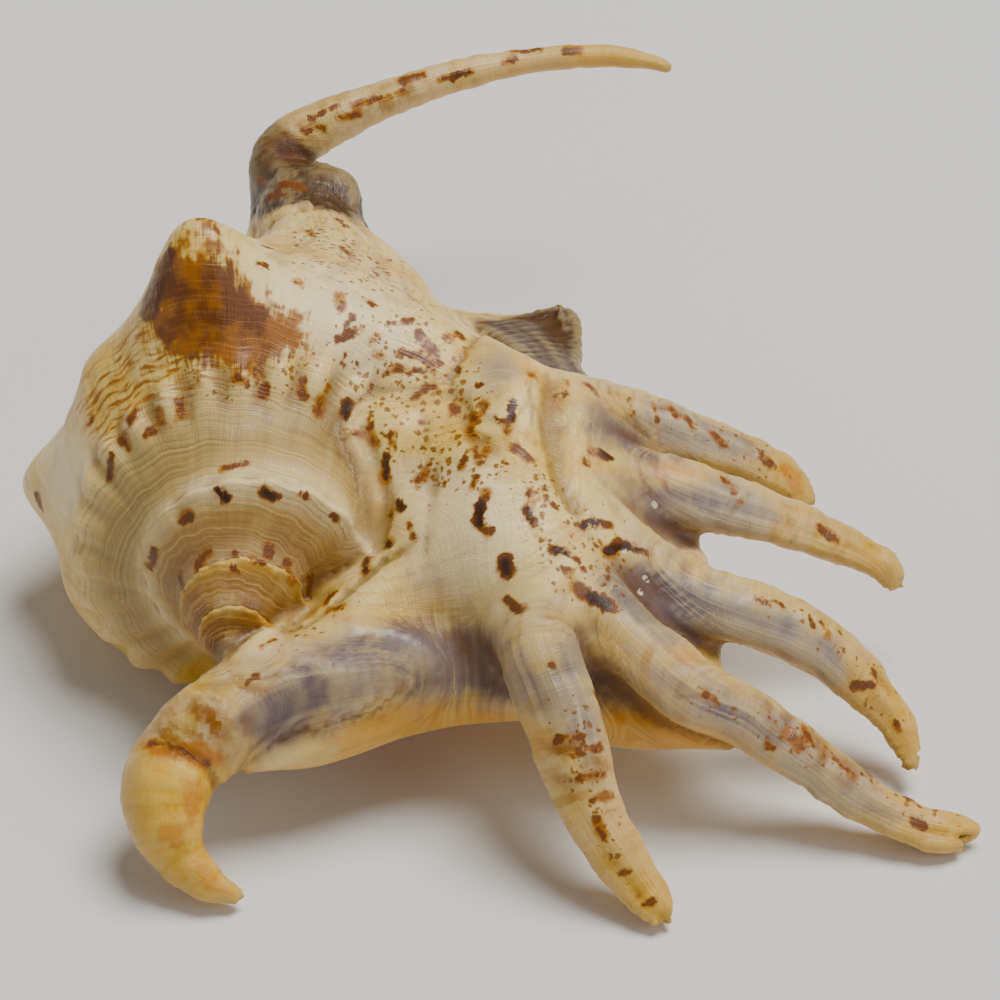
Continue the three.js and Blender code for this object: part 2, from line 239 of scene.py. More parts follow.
body_radius = np.array([side_profile(angle) for angle in angles])
for knob_angle, knob_depth, rise, spread, length in knobs:
    turn = (angles[:, None] - knob_angle + 180) % 360 - 180
    body_radius += rise * np.exp(-0.5 * (turn / spread) ** 2 - 0.5 * ((depths - knob_depth) / length) ** 2)
crisp = smoothed(body_radius, *crisp_spreads)
soft = smoothed(body_radius, *soft_spreads)
body_radius = crisp + unit((depths - soft_start) / soft_run) * (soft - crisp)
turned = (angles - lip_angle) % 360
for turn, (rise, spacing, width) in enumerate(beads, start=1):
    ridge = looked_up(spire_ridge, turned / 360 + turn, 2)[:, None]
    bead = 0.55 + 0.45 * bead_wave(turn, spacing)
    body_radius += (rise * bead)[:, None] * np.exp(-0.5 * ((depths - ridge) / width) ** 2)
    if turn == 1:
        from_hollow = (depths - ridge + ramp_hollow_from_ridge) / ramp_hollow_width
        body_radius -= ramp_hollow * np.exp(-0.5 * from_hollow**2)
slope_along = np.gradient(body_radius, depth_step, axis=1)
wrapped = np.vstack([body_radius[-1:], body_radius, body_radius[:1]])
slope_round = np.gradient(wrapped, math.radians(1), axis=0)[1:-1] / np.maximum(body_radius, 2)
body_flatness = smoothed(1 / np.sqrt(1 + slope_along**2 + slope_round**2), 4, 2)


def round_axis(points):
    """The radius and angle of points about the coiling axis, and their columns in the body's tables."""
    across = points[:, 0] - looked_up(neck_shift, points[:, 1], 1)
    above = points[:, 2] - axis_height
    column = (points[:, 1] - depths[0]) / depth_step
    return np.hypot(across, above), np.degrees(np.arctan2(above, across)) % 360, column


def body_distance(points):
    radius, angle, column = round_axis(points)
    column = np.clip(column, 0, len(depths) - 2)
    low = column.astype(int)
    row = angle.astype(int)
    s, t = angle - row, column - low

    def from_table(table):
        near, far = [table[r % 360, low] * (1 - t) + table[r % 360, low + 1] * t for r in (row, row + 1)]
        return near * (1 - s) + far * s

    distance = (radius - from_table(body_radius)) * from_table(body_flatness)
    return np.maximum(distance, np.maximum(-points[:, 1], points[:, 1] - body_end))


# Fingers and canal: x, y, z and radius of points along each, root to tip
rods = {
    "finger_1": [
        [25, 9, 15, 1.5], [20, 4, 15.6, 3.8], [13.6, 1, 16.7, 5], [6.3, -1, 16, 5.7], [0.2, -3.8, 14, 5.5],
        [-3.8, -6.5, 12, 5], [-5.6, -10.2, 10, 4.7], [-5.3, -13, 7.5, 4], [-4.1, -15.3, 5, 3.1],
        [-1.5, -17, 3, 2.2], [1.9, -17.8, 1.6, 1],
    ],
    "finger_2": [
        [27.5, 11, 27, 1.5], [31.1, 6.5, 24.5, 3.5], [33.1, 0, 21.2, 4], [35.7, -5, 16.5, 3.9],
        [37.7, -9, 12, 3.5], [40.1, -12, 8, 3], [42.7, -14.3, 4.7, 2.7], [45.2, -16.5, 2.7, 2.1],
        [46.3, -17.6, 2.1, 1.4],
    ],
    "finger_3": [
        [28.5, 15.5, 27.5, 1.5], [34, 10, 25, 3.4], [41, 4.2, 21.2, 3.55], [48.5, 0.8, 16.2, 3.45],
        [55, 0.4, 12.5, 3.1], [61.5, -1, 8.5, 2.8], [67, -2.7, 5, 2.4], [72.5, -4, 2.9, 2],
        [76, -4.3, 2.2, 1.75], [78, -4.1, 1.8, 1.15],
    ],
    "finger_4": [
        [28.5, 19, 28, 1.5], [35, 17.1, 26, 3.3], [41, 14.2, 22.5, 3.8], [47.6, 11.8, 20, 3.7],
        [54.6, 11.1, 18, 3.5], [61.2, 11.4, 14.5, 3.4], [66.5, 10.5, 10, 2.9], [70, 8.9, 6.6, 2.0],
        [71.9, 6.9, 4.8, 1.3], [72.8, 4.8, 3.5, 0.6],
    ],
    "finger_5": [
        [27, 23.5, 28.5, 1.5], [32.5, 25.1, 28, 3.3], [39, 24.6, 25, 3.7], [46.6, 25.3, 22.5, 3.6],
        [53.7, 26, 20, 2.9], [60.1, 26.9, 17, 2.4], [65.5, 27.1, 14.5, 2], [68.6, 26.9, 12.5, 1.6],
        [70.3, 25.9, 10.8, 1],
    ],
    "finger_6": [
        [26, 30, 28.5, 1.5], [32, 30.4, 29.5, 3.1], [37.5, 32.2, 27.8, 3.3], [43, 33.1, 25.5, 3.1],
        [48.5, 33.9, 23, 2.8], [54, 34.7, 20, 2.4], [58.2, 34.7, 17.5, 1.8], [60.4, 33.5, 15.8, 1],
    ],
    "canal": [
        [2.5, 68, 18, 6], [0.9, 78.5, 19, 4.7], [-2.1, 83.3, 20, 4], [-2.4, 86, 22, 3.5],
        [0.3, 87.6, 24, 3.1], [5.4, 89.3, 26, 2.6], [11.6, 91.2, 28, 2.2], [18.5, 93.3, 29.5, 1.9],
        [26.5, 95.9, 30, 1.55], [34.5, 97.5, 30, 1.3], [39.5, 97.6, 29.5, 1.05], [42.6, 97.1, 29, 0.8],
    ],
    "notch_lobe": [[1, 76, 21, 5], [3.6, 77.3, 22.3, 4], [5.6, 77.1, 23.6, 1.9]],
}
rod_step = 1.0
rod_fillet = 1.6
root_fillet = 8.5
root_length = 21

# Small raised forms that join with a tight fillet: prongs and nubs at the tips, the rolled margin of the lip,
# its edge where it runs up over the spire, the tooth between two fingers and the corner of the front lobe
ridges = {
    "prong_2_left": [[45.4, -17, 2.4, 1.6], [45.9, -18.7, 1.4, 0.8]],
    "prong_2_right": [[45.9, -16.8, 2.6, 1.6], [47.3, -18.1, 1.5, 0.85]],
    "prong_3_upper": [[75.8, -4, 2.4, 1.8], [79.2, -3.8, 2, 1]],
    "prong_3_lower": [[75.2, -4.9, 2, 1.6], [78.2, -5.7, 1, 0.35]],
    "nub_4_outer": [[69.6, 9.9, 7.6, 1.8], [71.5, 8.3, 6.2, 1.2]],
    "nub_4_inner": [[71.2, 7.4, 5.6, 1.3], [72.6, 6.3, 5, 0.8]],
    "nub_5": [[69.3, 26.7, 12.5, 1.2], [70.2, 26.6, 11.9, 0.8]],
    "roll_first": [
        [3.9, -5.2, 11.4, 2.0], [7.8, -4.3, 11.5, 2.2], [13, -2.1, 11.6, 2.3], [18, 1.1, 11.6, 2.4],
        [23.2, 3.1, 11.7, 2.5], [28.5, 3.6, 11.8, 2.4], [31.5, 3.2, 12, 1.6],
    ],
    "roll_second": [
        [36.5, 1.6, 12, 1.4], [40.3, 0.8, 11.4, 2.2], [44.6, 1, 11.2, 2.4], [49.9, 1.2, 11.6, 2.2],
        [54, 0.4, 12, 1.4],
    ],
    "crest": [
        [24.5, 36, 31.4, 1.8], [26.6, 32.3, 32.2, 2.6], [27.8, 28, 32.1, 3], [28.6, 23.2, 31.3, 2.7],
        [29.6, 17.6, 30.4, 2], [30.8, 13, 29.2, 1.4],
    ],
    "neck_edge": [[-3.8, 71, 21.4, 0.4], [-2.4, 69.4, 24.2, 0.7], [0, 68.4, 26.6, 0.8], [2.4, 69.4, 27, 0.6]],
    "slope_edge": [
        [11.1, 63.4, 26.2, 0.5], [15.3, 53.4, 29.2, 0.8], [19.6, 40.4, 34, 0.9], [21, 37.6, 34.4, 0.5],
    ],
    "lip_seam": [
        [14.6, 13, 22.6, 0.7], [13.6, 11.9, 22, 1], [11.6, 11.1, 20.9, 0.8], [9.6, 10.6, 19.6, 1.1],
        [8.6, 9, 19, 0.8], [6, 6.6, 19.2, 1.1], [4.6, 3.4, 20, 0.8], [3.4, 0.8, 20.6, 1.1],
        [1.6, -1.2, 20.2, 0.8],
    ],
    "tooth": [[47.4, 18.2, 18.8, 1.4], [48.6, 20.4, 17.6, 1.2], [49.2, 21.4, 16.6, 0.8]],
    "lobe_corner": [
        [33.6, 50, 20.6, 0.3], [33.4, 54, 20.3, 0.4], [32.4, 58.4, 20.2, 0.5], [31.6, 60.4, 21.4, 0.35],
    ],
    "flange": [[6, 72.2, 23, 0.7], [6.7, 75, 24.2, 0.9], [5, 77.6, 25.2, 0.8], [2.2, 80, 25.4, 0.6]],
}
ridge_fillet = 0.7
soft_ridges = ("roll_first", "roll_second", "crest")
soft_ridge_fillet = 3.5

# Fine hollows: the seam between spire and lip, and the step down behind the crest where the fingers begin
hollows = {
    "seam": [[12.7, 24.2, 31.2, 0.3], [14.8, 20, 29, 0.5], [15.7, 17, 26.8, 0.6], [14.9, 13.4, 23.5, 0.5]],
    "behind_crest": [
        [32.6, 31, 35, 1.4], [33.3, 26, 34.8, 2.3], [33.7, 21.5, 34, 2.4], [34.5, 17, 32.8, 2],
        [36, 13.8, 30.9, 1.3],
    ],
    "notch_3": [[80, -4.9, 1.4, 0.5], [77.4, -4.6, 2.2, 0.45]],
    "neck_slit": [
        [-4.8, 71, 21.8, 0.3], [-3, 68.8, 24.8, 0.4], [-0.4, 67.4, 27.2, 0.4], [2, 68.2, 27.8, 0.3],
    ],
}
hollow_fillet = 1.0


def through(points, count):
    points = np.asarray(points, float)
    padded = np.vstack([[2 * points[0] - points[1]], points, [2 * points[-1] - points[-2]]])
    place = np.linspace(0, len(points) - 1, count)
    i = np.minimum(place.astype(int), len(points) - 2)
    t = (place - i).reshape([-1] + [1] * (points.ndim - 1))
    a, b, c, d = padded[i], padded[i + 1], padded[i + 2], padded[i + 3]
    return 0.5 * (2 * b + (c - a) * t + (2 * a - 5 * b + 4 * c - d) * t**2 + (3 * b - a - 3 * c + d) * t**3)


def lines_through(rods):
    lines = {}
    for name, points in rods.items():
        dense = through(points, 400)
        length = np.concatenate([[0], np.cumsum(np.linalg.norm(np.diff(dense[:, :3], axis=0), axis=1))])
        along = np.linspace(0, length[-1], int(length[-1] / rod_step) + 2)
        lines[name] = np.column_stack([np.interp(along, length, dense[:, k]) for k in range(4)] + [along])
    return lines


def rod_distance(points, line):
    """The distance from points to a rod, how far along it they lie, and the nearest places on its middle."""
    best = [np.full(len(points), 1e3), np.zeros(len(points)), np.zeros_like(points)]
    for start, run in zip(line, np.diff(line, axis=0)):
        share = unit((points - start[:3]) @ run[:3] / (run[:3] @ run[:3]))
        centre = start[:3] + share[:, None] * run[:3]
        distance = np.linalg.norm(points - centre, axis=1) - (start[3] + share * run[3])
        closer = distance < best[0]
        for kept, found in zip(best, (distance, start[4] + share * run[4], centre)):
            kept[closer] = found[closer]
    return best


rod_lines, ridge_lines, hollow_lines = [lines_through(forms) for forms in (rods, ridges, hollows)]

# The flared lip: five points on the upper face of each of its ribs, from the body out to the edge
lip_ribs = np.array([
    [[3, 2, 17], [1.5, 0.5, 18.5], [0.5, -2, 17.8], [0, -5, 15], [0, -6.8, 12.2]],
    [[8, 20, 16], [9.5, 7.5, 20.8], [10, 1.4, 21.2], [10, -2.6, 16], [9, -6.4, 11]],
    [[9, 22, 19], [16.3, 11, 24.8], [18, 6, 23], [18, 2, 17], [18, -0.6, 11.5]],
    [[10, 23.5, 24], [20.5, 12.5, 28.2], [23.5, 6.5, 24.4], [24.5, 3, 17.4], [24.5, 0.8, 12]],
    [[10, 25, 27.5], [27, 14.5, 30], [30.5, 5.5, 26], [32.5, 2, 18.5], [32, 0.5, 12]],
    [[10, 27, 29], [30.2, 14.5, 30.5], [36.3, 6.6, 25.2], [42, 1.4, 18.6], [46, -0.5, 11.4]],
    [[10, 29, 30], [31, 16.5, 30.7], [37.5, 9.5, 25.2], [45.5, 2.8, 18.6], [53.5, 1, 11.5]],
    [[11, 31, 30], [31.5, 18.5, 31], [38.5, 12.8, 26.2], [45.5, 8.9, 20.7], [52.5, 8.5, 14.8]],
    [[12, 33, 30], [31.5, 21.5, 31.5], [38.5, 18, 26.3], [44.8, 19, 21.5], [50, 22.2, 17.3]],
    [[13, 35, 29.5], [31.5, 25, 31.7], [38, 25.5, 27.8], [43, 27, 24], [47, 28.5, 21.5]],
    [[14, 37, 29], [30.2, 31, 31.6], [35, 34, 28.7], [37.5, 36.5, 26.7], [40, 38.5, 24.7]],
    [[14, 40, 27.5], [26.5, 38.7, 29], [32, 43.5, 25.7], [34.5, 46.5, 23], [35.5, 47, 21.5]],
    [[14, 43, 26], [23.5, 45, 26], [29.5, 51, 23], [33, 53.5, 21], [35, 54, 20.7]],
    [[13, 46, 24], [20.5, 51, 23.3], [26, 56.3, 21], [30.5, 59.7, 19.7], [33.2, 60.3, 20.7]],
    [[12, 50, 22], [17.5, 55, 21.3], [20.5, 58.5, 20], [24, 60.8, 19], [28, 61.5, 18.7]],
], dtype=float)
lip_thickness = np.array([9, 8, 5.2, 3.6, 3.4])
lip_rows = 99
lip_columns = 49
lobe_start = 20

lip_face = through(lip_ribs, lip_rows)
lip_face = through(lip_face.transpose(1, 0, 2), lip_columns).transpose(1, 0, 2)
lip_half = through(lip_thickness[:, None], lip_columns)[:, 0] / 2
lip_half = np.tile(lip_half, (lip_rows, 1)) * np.minimum(np.linspace(0.5, 7.5, lip_rows), 1)[:, None]
rib_number = np.linspace(0, len(lip_ribs) - 1, lip_rows)
lip_half[:, lobe_start:] *= np.interp(rib_number, [10.5, 12], [1, 0.55])[:, None]
lip_normal = np.cross(np.gradient(lip_face, axis=1), np.gradient(lip_face, axis=0))
lip_normal /= np.linalg.norm(lip_normal, axis=2)[:, :, None]
lip_normal *= np.sign(lip_normal[:, :, 2].mean())
lip_middle = lip_face - lip_normal * lip_half[:, :, None]
outward = lip_face[:, -1] - lip_face[:, -3]
outward /= np.linalg.norm(outward, axis=1)[:, None]
edge_pull = unit((np.linspace(0, 1, lip_columns) - 0.8) / 0.2) ** 2
lip_middle -= (edge_pull * lip_half)[:, :, None] * outward[:, None, :]
lip_points = lip_middle.reshape(-1, 3)
lip_first = [r * lip_columns + c for r in range(lip_rows - 1) for c in range(lip_columns - 1)]
lip_quads = [(i, i + 1, i + lip_columns + 1, i + lip_columns) for i in lip_first]
lip_tree = BVHTree.FromPolygons([tuple(p) for p in lip_points], lip_quads)


def lip_distance(points, reach):
    """The distance from points to the lip as far as reach, and their rows and columns in its grid."""
    hits = [lip_tree.find_nearest(point, reach) for point in points.tolist()]
    found = np.array([i for i, hit in enumerate(hits) if hit[2] is not None])
    where = np.array([tuple(hits[i][0]) for i in found])
    row, column = np.divmod([hits[i][2] for i in found], lip_columns - 1)
    corner = lip_middle[row, column]
    across = lip_middle[row, column + 1] - corner
    along = lip_middle[row + 1, column] - corner
    s, t = [unit(((where - corner) * side).sum(1) / (side**2).sum(1)) for side in (along, across)]
    half = lip_half[row, column] * (1 - t) + lip_half[row, column + 1] * t
    result = np.zeros((3, len(points)))
    result[0] = 1e3
    result[:, found] = [[hits[i][3] for i in found] - half, row + s, column + t]
    return result


# The opening and the room behind it: x, z, half-width and half-height at distances from the apex
opening = np.array([
    [4, 16, 11, 2.5, 3.5], [12, 16, 11, 4, 9], [24, 15, 11, 5.2, 12], [36, 13.5, 11.5, 5.6, 12.5],
    [48, 12, 11.5, 5.2, 12], [58, 9, 11, 4.4, 10.5], [68, 5, 11.5, 3.4, 8.5], [77, 1, 12.5, 2.4, 6],
    [84, -2, 14.5, 1.5, 4],
])
chamber_centre = np.array([5, 38, 24])
chamber_half = np.array([12, 14, 12])
opening_fillet = 1.6
ground_fillet = 0.6


def opening_distance(points):
    x, y, z = points.T
    centre_x, centre_z, half_width, half_height = [looked_up(opening, y, k) for k in (1, 2, 3, 4)]
    slot = (np.hypot((x - centre_x) / half_width, (z - centre_z) / half_height) - 1) * half_width
    slot = np.maximum(slot, np.maximum(opening[0, 0] - y, y - opening[-1, 0]))
    room = (np.linalg.norm((points - chamber_centre) / chamber_half, axis=1) - 1) * chamber_half.min()
    return np.minimum(slot, room)


def soft_min(a, b, fillet):
    near = np.maximum(fillet - np.abs(a - b), 0) / fillet
    return np.minimum(a, b) - near**2 * fillet / 4


# The field on a grid of cells: body, lip, rods, ridges, hollows, opening and ground
cell = 0.62
grid_low = np.array([-30.0, -23.0, -1.75])
grid_high = np.array([83.5, 102.5, 52.0])
grid_size = np.ceil((grid_high - grid_low) / cell).astype(int) + 1
axes = [grid_low[k] + cell * np.arange(grid_size[k]) for k in range(3)]
field = np.empty(grid_size, dtype=np.float32)
for i, x in enumerate(axes[0]):
    y, z = np.meshgrid(axes[1], axes[2], indexing="ij")
    slab = np.column_stack([np.full(y.size, x), y.ravel(), z.ravel()])
    field[i] = body_distance(slab).reshape(y.shape)

# The lip counts only in the blocks of cells that it runs through and in those next to them
lip_reach = 7.0
block_size = 8
near_lip = np.zeros(-(-grid_size // block_size), dtype=bool)
block_index = ((lip_points - grid_low) / (block_size * cell)).astype(int)
for shift in np.ndindex(3, 3, 3):
    moved = np.clip(block_index + shift - np.array([1, 1, 1]), 0, np.array(near_lip.shape) - 1)
    near_lip[tuple(moved.T)] = True
for axis in range(3):
    near_lip = near_lip.repeat(block_size, axis)
cells = np.argwhere(near_lip[: grid_size[0], : grid_size[1], : grid_size[2]])
places = grid_low + cell * cells
lip_fillet = 0.6 + 5.4 * unit((places[:, 1] - 12) / 12)
at = tuple(cells.T)
field[at] = soft_min(field[at], lip_distance(places, lip_reach)[0], lip_fillet)

for name, line in {**rod_lines, **ridge_lines}.items():
    fillet = rod_fillet if name in rods else soft_ridge_fillet if name in soft_ridges else ridge_fillet
    widest = root_fillet if "finger" in name else fillet
    first = np.maximum(((line[:, :3] - line[:, 3:4] - 5).min(0) - grid_low) / cell, 0).astype(int)
    last = np.ceil(((line[:, :3] + line[:, 3:4] + 5).max(0) - grid_low) / cell).astype(int) + 1
    block = tuple(slice(first[k], last[k]) for k in range(3))
    places = np.stack(np.meshgrid(*[axes[k][block[k]] for k in range(3)], indexing="ij"), axis=-1)
    distance, along, _ = rod_distance(places.reshape(-1, 3), line)
    spread = fillet + (widest - fillet) * unit(1 - along / root_length)
    shape = field[block].shape
    field[block] = soft_min(field[block], distance.reshape(shape), spread.reshape(shape))
cells = np.argwhere(field < 3)
places = grid_low + cell * cells
at = tuple(cells.T)
for line in hollow_lines.values():
    field[at] = -soft_min(-field[at], rod_distance(places, line)[0], hollow_fillet)
field[at] = -soft_min(-field[at], opening_distance(places), opening_fillet)
field[at] = -soft_min(-field[at], places[:, 2], ground_fillet)


# The surface of the field: one point in each cell that it crosses, one face across each crossed edge
def shifted(crossed, axis, a, b):
    moved = crossed.copy()
    moved[:, [k for k in range(3) if k != axis]] += [a, b]
    return tuple(moved.T)


crossing_sum = np.zeros(tuple(grid_size) + (3,), dtype=np.float32)
crossing_count = np.zeros(tuple(grid_size), dtype=np.float32)
crossed_edges = []
for axis in range(3):
    crossed = np.argwhere(np.diff(field < 0, axis=axis))
    start = field[tuple(crossed.T)]
    end = field[tuple((crossed + np.eye(3, dtype=int)[axis]).T)]
    place = crossed.astype(np.float32)
    place[:, axis] += start / (start - end)
    for a, b in ((0, 0), (0, -1), (-1, 0), (-1, -1)):
        np.add.at(crossing_sum, shifted(crossed, axis, a, b), place)
        np.add.at(crossing_count, shifted(crossed, axis, a, b), 1)
    crossed_edges.append((axis, crossed, start < 0))
holders = tuple(np.argwhere(crossing_count > 0).T)
numbers = np.full(tuple(grid_size), -1, dtype=np.int64)
numbers[holders] = np.arange(len(holders[0]))
points = grid_low + cell * (crossing_sum[holders] / crossing_count[holders][:, None]).astype(float)
quads = []
for axis, crossed, starts_inside in crossed_edges:
    ring = [numbers[shifted(crossed, axis, a, b)] for a, b in ((0, 0), (-1, 0), (-1, -1), (0, -1))]
    ring = np.stack(ring, axis=1)
    turned_over = starts_inside if axis == 1 else ~starts_inside
    ring[turned_over] = ring[turned_over][:, ::-1]
    quads.append(ring)
quads = np.vstack(quads)


def blended(t, corner_values):
    """Values at the eight corners of a cell, blended by the shares t along its axes."""
    value = 0
    for corner in np.ndindex(2, 2, 2):
        x, y, z = [t[:, k] if corner[k] else 1 - t[:, k] for k in range(3)]
        value = value + x * y * z * corner_values(corner)
    return value


def field_at(places):
    place = (places - grid_low) / cell
    low_corner = np.clip(place.astype(int), 0, grid_size - 2)
    return blended(place - low_corner, lambda corner: field[tuple((low_corner + corner).T)])


def slope_of(distance, places, reach):
    steps = reach * np.eye(3)
    return np.stack([(distance(places + s) - distance(places - s)) / (2 * reach) for s in steps], axis=1)


def sides_of(rings):
    count = rings.shape[1]
    return np.vstack([rings[:, [k, (k + 1) % count]] for k in range(count)])


# The points move toward the middle of their neighbours, so that the faces even out, and back to the surface
relax_rounds = 4
relax_share = 0.6
edges = sides_of(quads)
for _ in range(relax_rounds):
    total = np.zeros_like(points)
    count = np.zeros(len(points))
    np.add.at(total, edges[:, 0], points[edges[:, 1]])
    np.add.at(count, edges[:, 0], 1)
    points = points + relax_share * (total / count[:, None] - points)
    slope = slope_of(field_at, points, 0.3)
    points -= (field_at(points) / np.maximum((slope**2).sum(1), 0.05))[:, None] * slope

# The spire is cut twice as fine, so that the rims of its turns come out sharp
spire_end = 21
fine = (points[:, 1] < spire_end) & (np.abs(body_distance(points)) < 0.25)
split = fine[quads].all(axis=1)
edge_middle = {}
all_points = points.tolist()


def middle_of(a, b):
    key = (min(a, b), max(a, b))
    if key not in edge_middle:
        edge_middle[key] = len(all_points)
        all_points.append([(p + q) / 2 for p, q in zip(all_points[a], all_points[b])])
    return edge_middle[key]


faces = []
for quad in quads[split].tolist():
    around = [middle_of(a, b) for a, b in zip(quad, quad[1:] + quad[:1])]
    faces += [(quad[i], around[i], len(all_points), around[i - 1]) for i in range(4)]
    all_points.append([sum(all_points[corner][k] for corner in quad) / 4 for k in range(3)])
for quad in quads[~split].tolist():
    face = []
    for a, b in zip(quad, quad[1:] + quad[:1]):
        face += [a, edge_middle.get((min(a, b), max(a, b)))]
    faces.append(tuple(corner for corner in face if corner is not None))
points = np.array(all_points)


def nearest_of(lines):
    return np.min([rod_distance(points, line)[0] for line in lines.values()], axis=0)


# Points that lie on the body alone, or on one rod alone, are set exactly on it
lip_away, lip_row, lip_column = lip_distance(points, lip_reach)
rod_data = {name: rod_distance(points, line) for name, line in rod_lines.items()}
nearest_rod = np.min([data[0] for data in rod_data.values()], axis=0)
alone = (np.abs(body_distance(points)) < 0.6) & (lip_away > 2.5) & (nearest_rod > 2) & (points[:, 2] > 1)
alone &= (opening_distance(points) > 2) & (nearest_of(hollow_lines) > 1.5)
for _ in range(3):
    slope = slope_of(body_distance, points[alone], 0.1)
    size = np.maximum((slope**2).sum(1), 0.3)
    points[alone] -= np.clip(body_distance(points[alone]) / size, -0.2, 0.2)[:, None] * slope
nearest_ridge = nearest_of(ridge_lines)
for name, (away, along, centre) in rod_data.items():
    others = np.min([data[0] for other, data in rod_data.items() if other != name], axis=0)
    alone = (np.abs(away) < 0.6) & (others > 2) & (lip_away > 2) & (body_distance(points) > 2)
    alone &= (points[:, 2] > 1) & (nearest_ridge > 1) & (along > root_length)
    outward = points[alone] - centre[alone]
    points[alone] -= away[alone, None] * outward / np.linalg.norm(outward, axis=1)[:, None]

# Which way each point faces
corners = np.array([[face[0], face[i], face[i + 1]] for face in faces for i in range(1, len(face) - 1)])
point_count = len(points)


def facing(places):
    first, second, third = [places[corners[:, k]] for k in range(3)]
    across = np.cross(second - first, third - first)
    total = np.zeros_like(places)
    for k in range(3):
        np.add.at(total, corners[:, k], across)
    return total / np.maximum(np.linalg.norm(total, axis=1), 1e-9)[:, None]


normals = facing(points)

# The place of each point along and across the lines of growth, blended where body, lip and rods meet
flow_blend = 0.8
degree_length = 0.35
lip_width = 45
lip_length = 84
_, angle, column = round_axis(points)
row = angle.astype(int) % 360
column = np.clip(column, 0, len(depths) - 1).astype(int)
arc = np.cumsum(np.hypot(depth_step, np.gradient(body_radius, axis=1)), axis=1)
body_away = np.abs(body_distance(points))
flow = np.zeros((point_count, 3))
weights, largest = np.zeros((2, point_count))


def add_flow(weight, along, across, shift):
    flow[:] += weight[:, None] * np.column_stack([along, across, np.full(point_count, shift)])
    weights[:] += weight
    largest[:] = np.maximum(largest, weight)


def nearness(away):
    return np.exp(-np.clip(np.abs(away), 0, 20) / flow_blend)


add_flow(nearness(body_away), -((angle - lip_angle) % 360) * degree_length, arc[row, column], 0)
add_flow(nearness(lip_away), lip_column / lip_columns * lip_width - 120, lip_row / lip_rows * lip_length, 3)

# The same for the rods, with how far each point belongs to a finger and its tip, and the facets of fingers
finger_share, tip_share, facets, facets_along = np.zeros((4, point_count))
for number, (name, (away, along, centre)) in enumerate(rod_data.items()):
    line = rod_lines[name]
    tangent = np.gradient(line[:, :3], axis=0)
    tangent /= np.linalg.norm(tangent, axis=1)[:, None]
    tangent = tangent[np.clip((along / rod_step).astype(int), 0, len(line) - 1)]
    outward = points - centre
    upward = np.array([0, 0, 1]) - tangent * tangent[:, 2:3]
    sideways = np.cross(tangent, upward)
    around = np.arctan2((outward * sideways).sum(1), (outward * upward).sum(1))
    weight = nearness(away) * unit((along - 5) / 14) ** 2
    add_flow(weight, along, around * 3, 7 + 4 * number)
    share = unit(1 - away / 1.5)
    finger_share = np.maximum(finger_share, share * (name != "notch_lobe"))
    if "finger" in name:
        facet_depth = share * unit(along / 14) * (0.5 if name == "finger_1" else 1)
        wave = 0.32 * np.cos(3 * (around + 0.6)) + 0.16 * np.cos(5 * (around - 0.4))
        facets = np.where(share * along > facets_along, facet_depth * wave, facets)
        facets_along = np.maximum(facets_along, share * along)
    half_length = 0.5 * line[-1, 4]
    tip_share = np.maximum(tip_share, share * unit((along - half_length) / half_length))
tip_share = np.where((nearest_ridge < 0.5) & (tip_share > 0.5), 1, tip_share)
flow /= np.maximum(weights, 1e-9)[:, None]
sure = unit((largest / np.maximum(weights, 1e-9) - 0.6) / 0.3)

# Unevenness: smooth random values on a lattice, long ripples along the growth, lumps on the fingers
ripple_length = 1.5
random = np.random.default_rng(7).random(65536)


def noise(places):
    base = np.floor(places).astype(np.int64)
    t = places - base

    def lot(corner):
        x, y, z = (base + corner).T
        return random[((x * 73856093) ^ (y * 19349663) ^ (z * 83492791)) & 65535]

    return blended(t * t * (3 - 2 * t), lot) - 0.5


outside = (body_distance(points) >= -0.8).astype(float)
off_canal = 1 - 0.8 * unit((points[:, 1] - 70) / 8)
front = unit((points[:, 1] - 38) / 6) * (1 - finger_share) * outside
valleys = unit(1 - np.abs(lip_away)) * (1 - finger_share) * unit((30 - points[:, 1]) / 8)
lift = 0.5 * noise(points / 9) * outside + facets
lift += 0.24 * noise(flow * [0.9, 0.1, 1]) * sure * outside * np.clip((points[:, 1] - 8) / 30, 0.25, 1)
lift += 0.4 * noise(flow * [0.55, 0.2, 1] + 40) * sure * finger_share * off_canal
lift += 0.75 * noise(points / 2.0 + 11) * tip_share**1.5 * off_canal
lift += 0.5 * noise(points / 4 + 23) * finger_share * off_canal
lift += 0.05 * np.sin(flow[:, 1] * 2 * math.pi / ripple_length) * sure * front
lift += 0.22 * noise(flow * [0.08, 0.55, 1] + 71) * sure * valleys
lift[points[:, 2] < 0.6] = 0
points = points + normals * lift[:, None]
points[:, 2] = np.maximum(points[:, 2], 0)
normals = facing(points)

# Places named by where the photograph shows them, in its pixels: a ray from the camera finds the surface
rightward = np.array([math.cos(camera_turn), math.sin(camera_turn), 0])
forward = np.array([-rightward[1], rightward[0], 0]) * math.sin(camera_tilt) - [0, 0, math.cos(camera_tilt)]
upward = np.cross(rightward, forward)
eye = camera_place + middle
shell_tree = BVHTree.FromPolygons([tuple(p) for p in points], faces)
from_eye = points - eye
depth = from_eye @ forward
photo_middle = photo_width / 2
pixel_x = photo_middle + focal_pixels * (from_eye @ rightward) / depth
pixel_y = photo_middle - focal_pixels * (from_eye @ upward) / depth
view_dot = -(normals * from_eye).sum(1) / np.linalg.norm(from_eye, axis=1)


def seen(x, y):
    ray = forward + rightward * (x - photo_middle) / focal_pixels - upward * (y - photo_middle) / focal_pixels
    hit = shell_tree.ray_cast(Vector(eye), Vector(ray).normalized())[0]
    nearest = np.argmin((pixel_x - x) ** 2 + (pixel_y - y) ** 2 + 1e6 * (view_dot < 0))
    return points[nearest] if hit is None else np.array(hit)


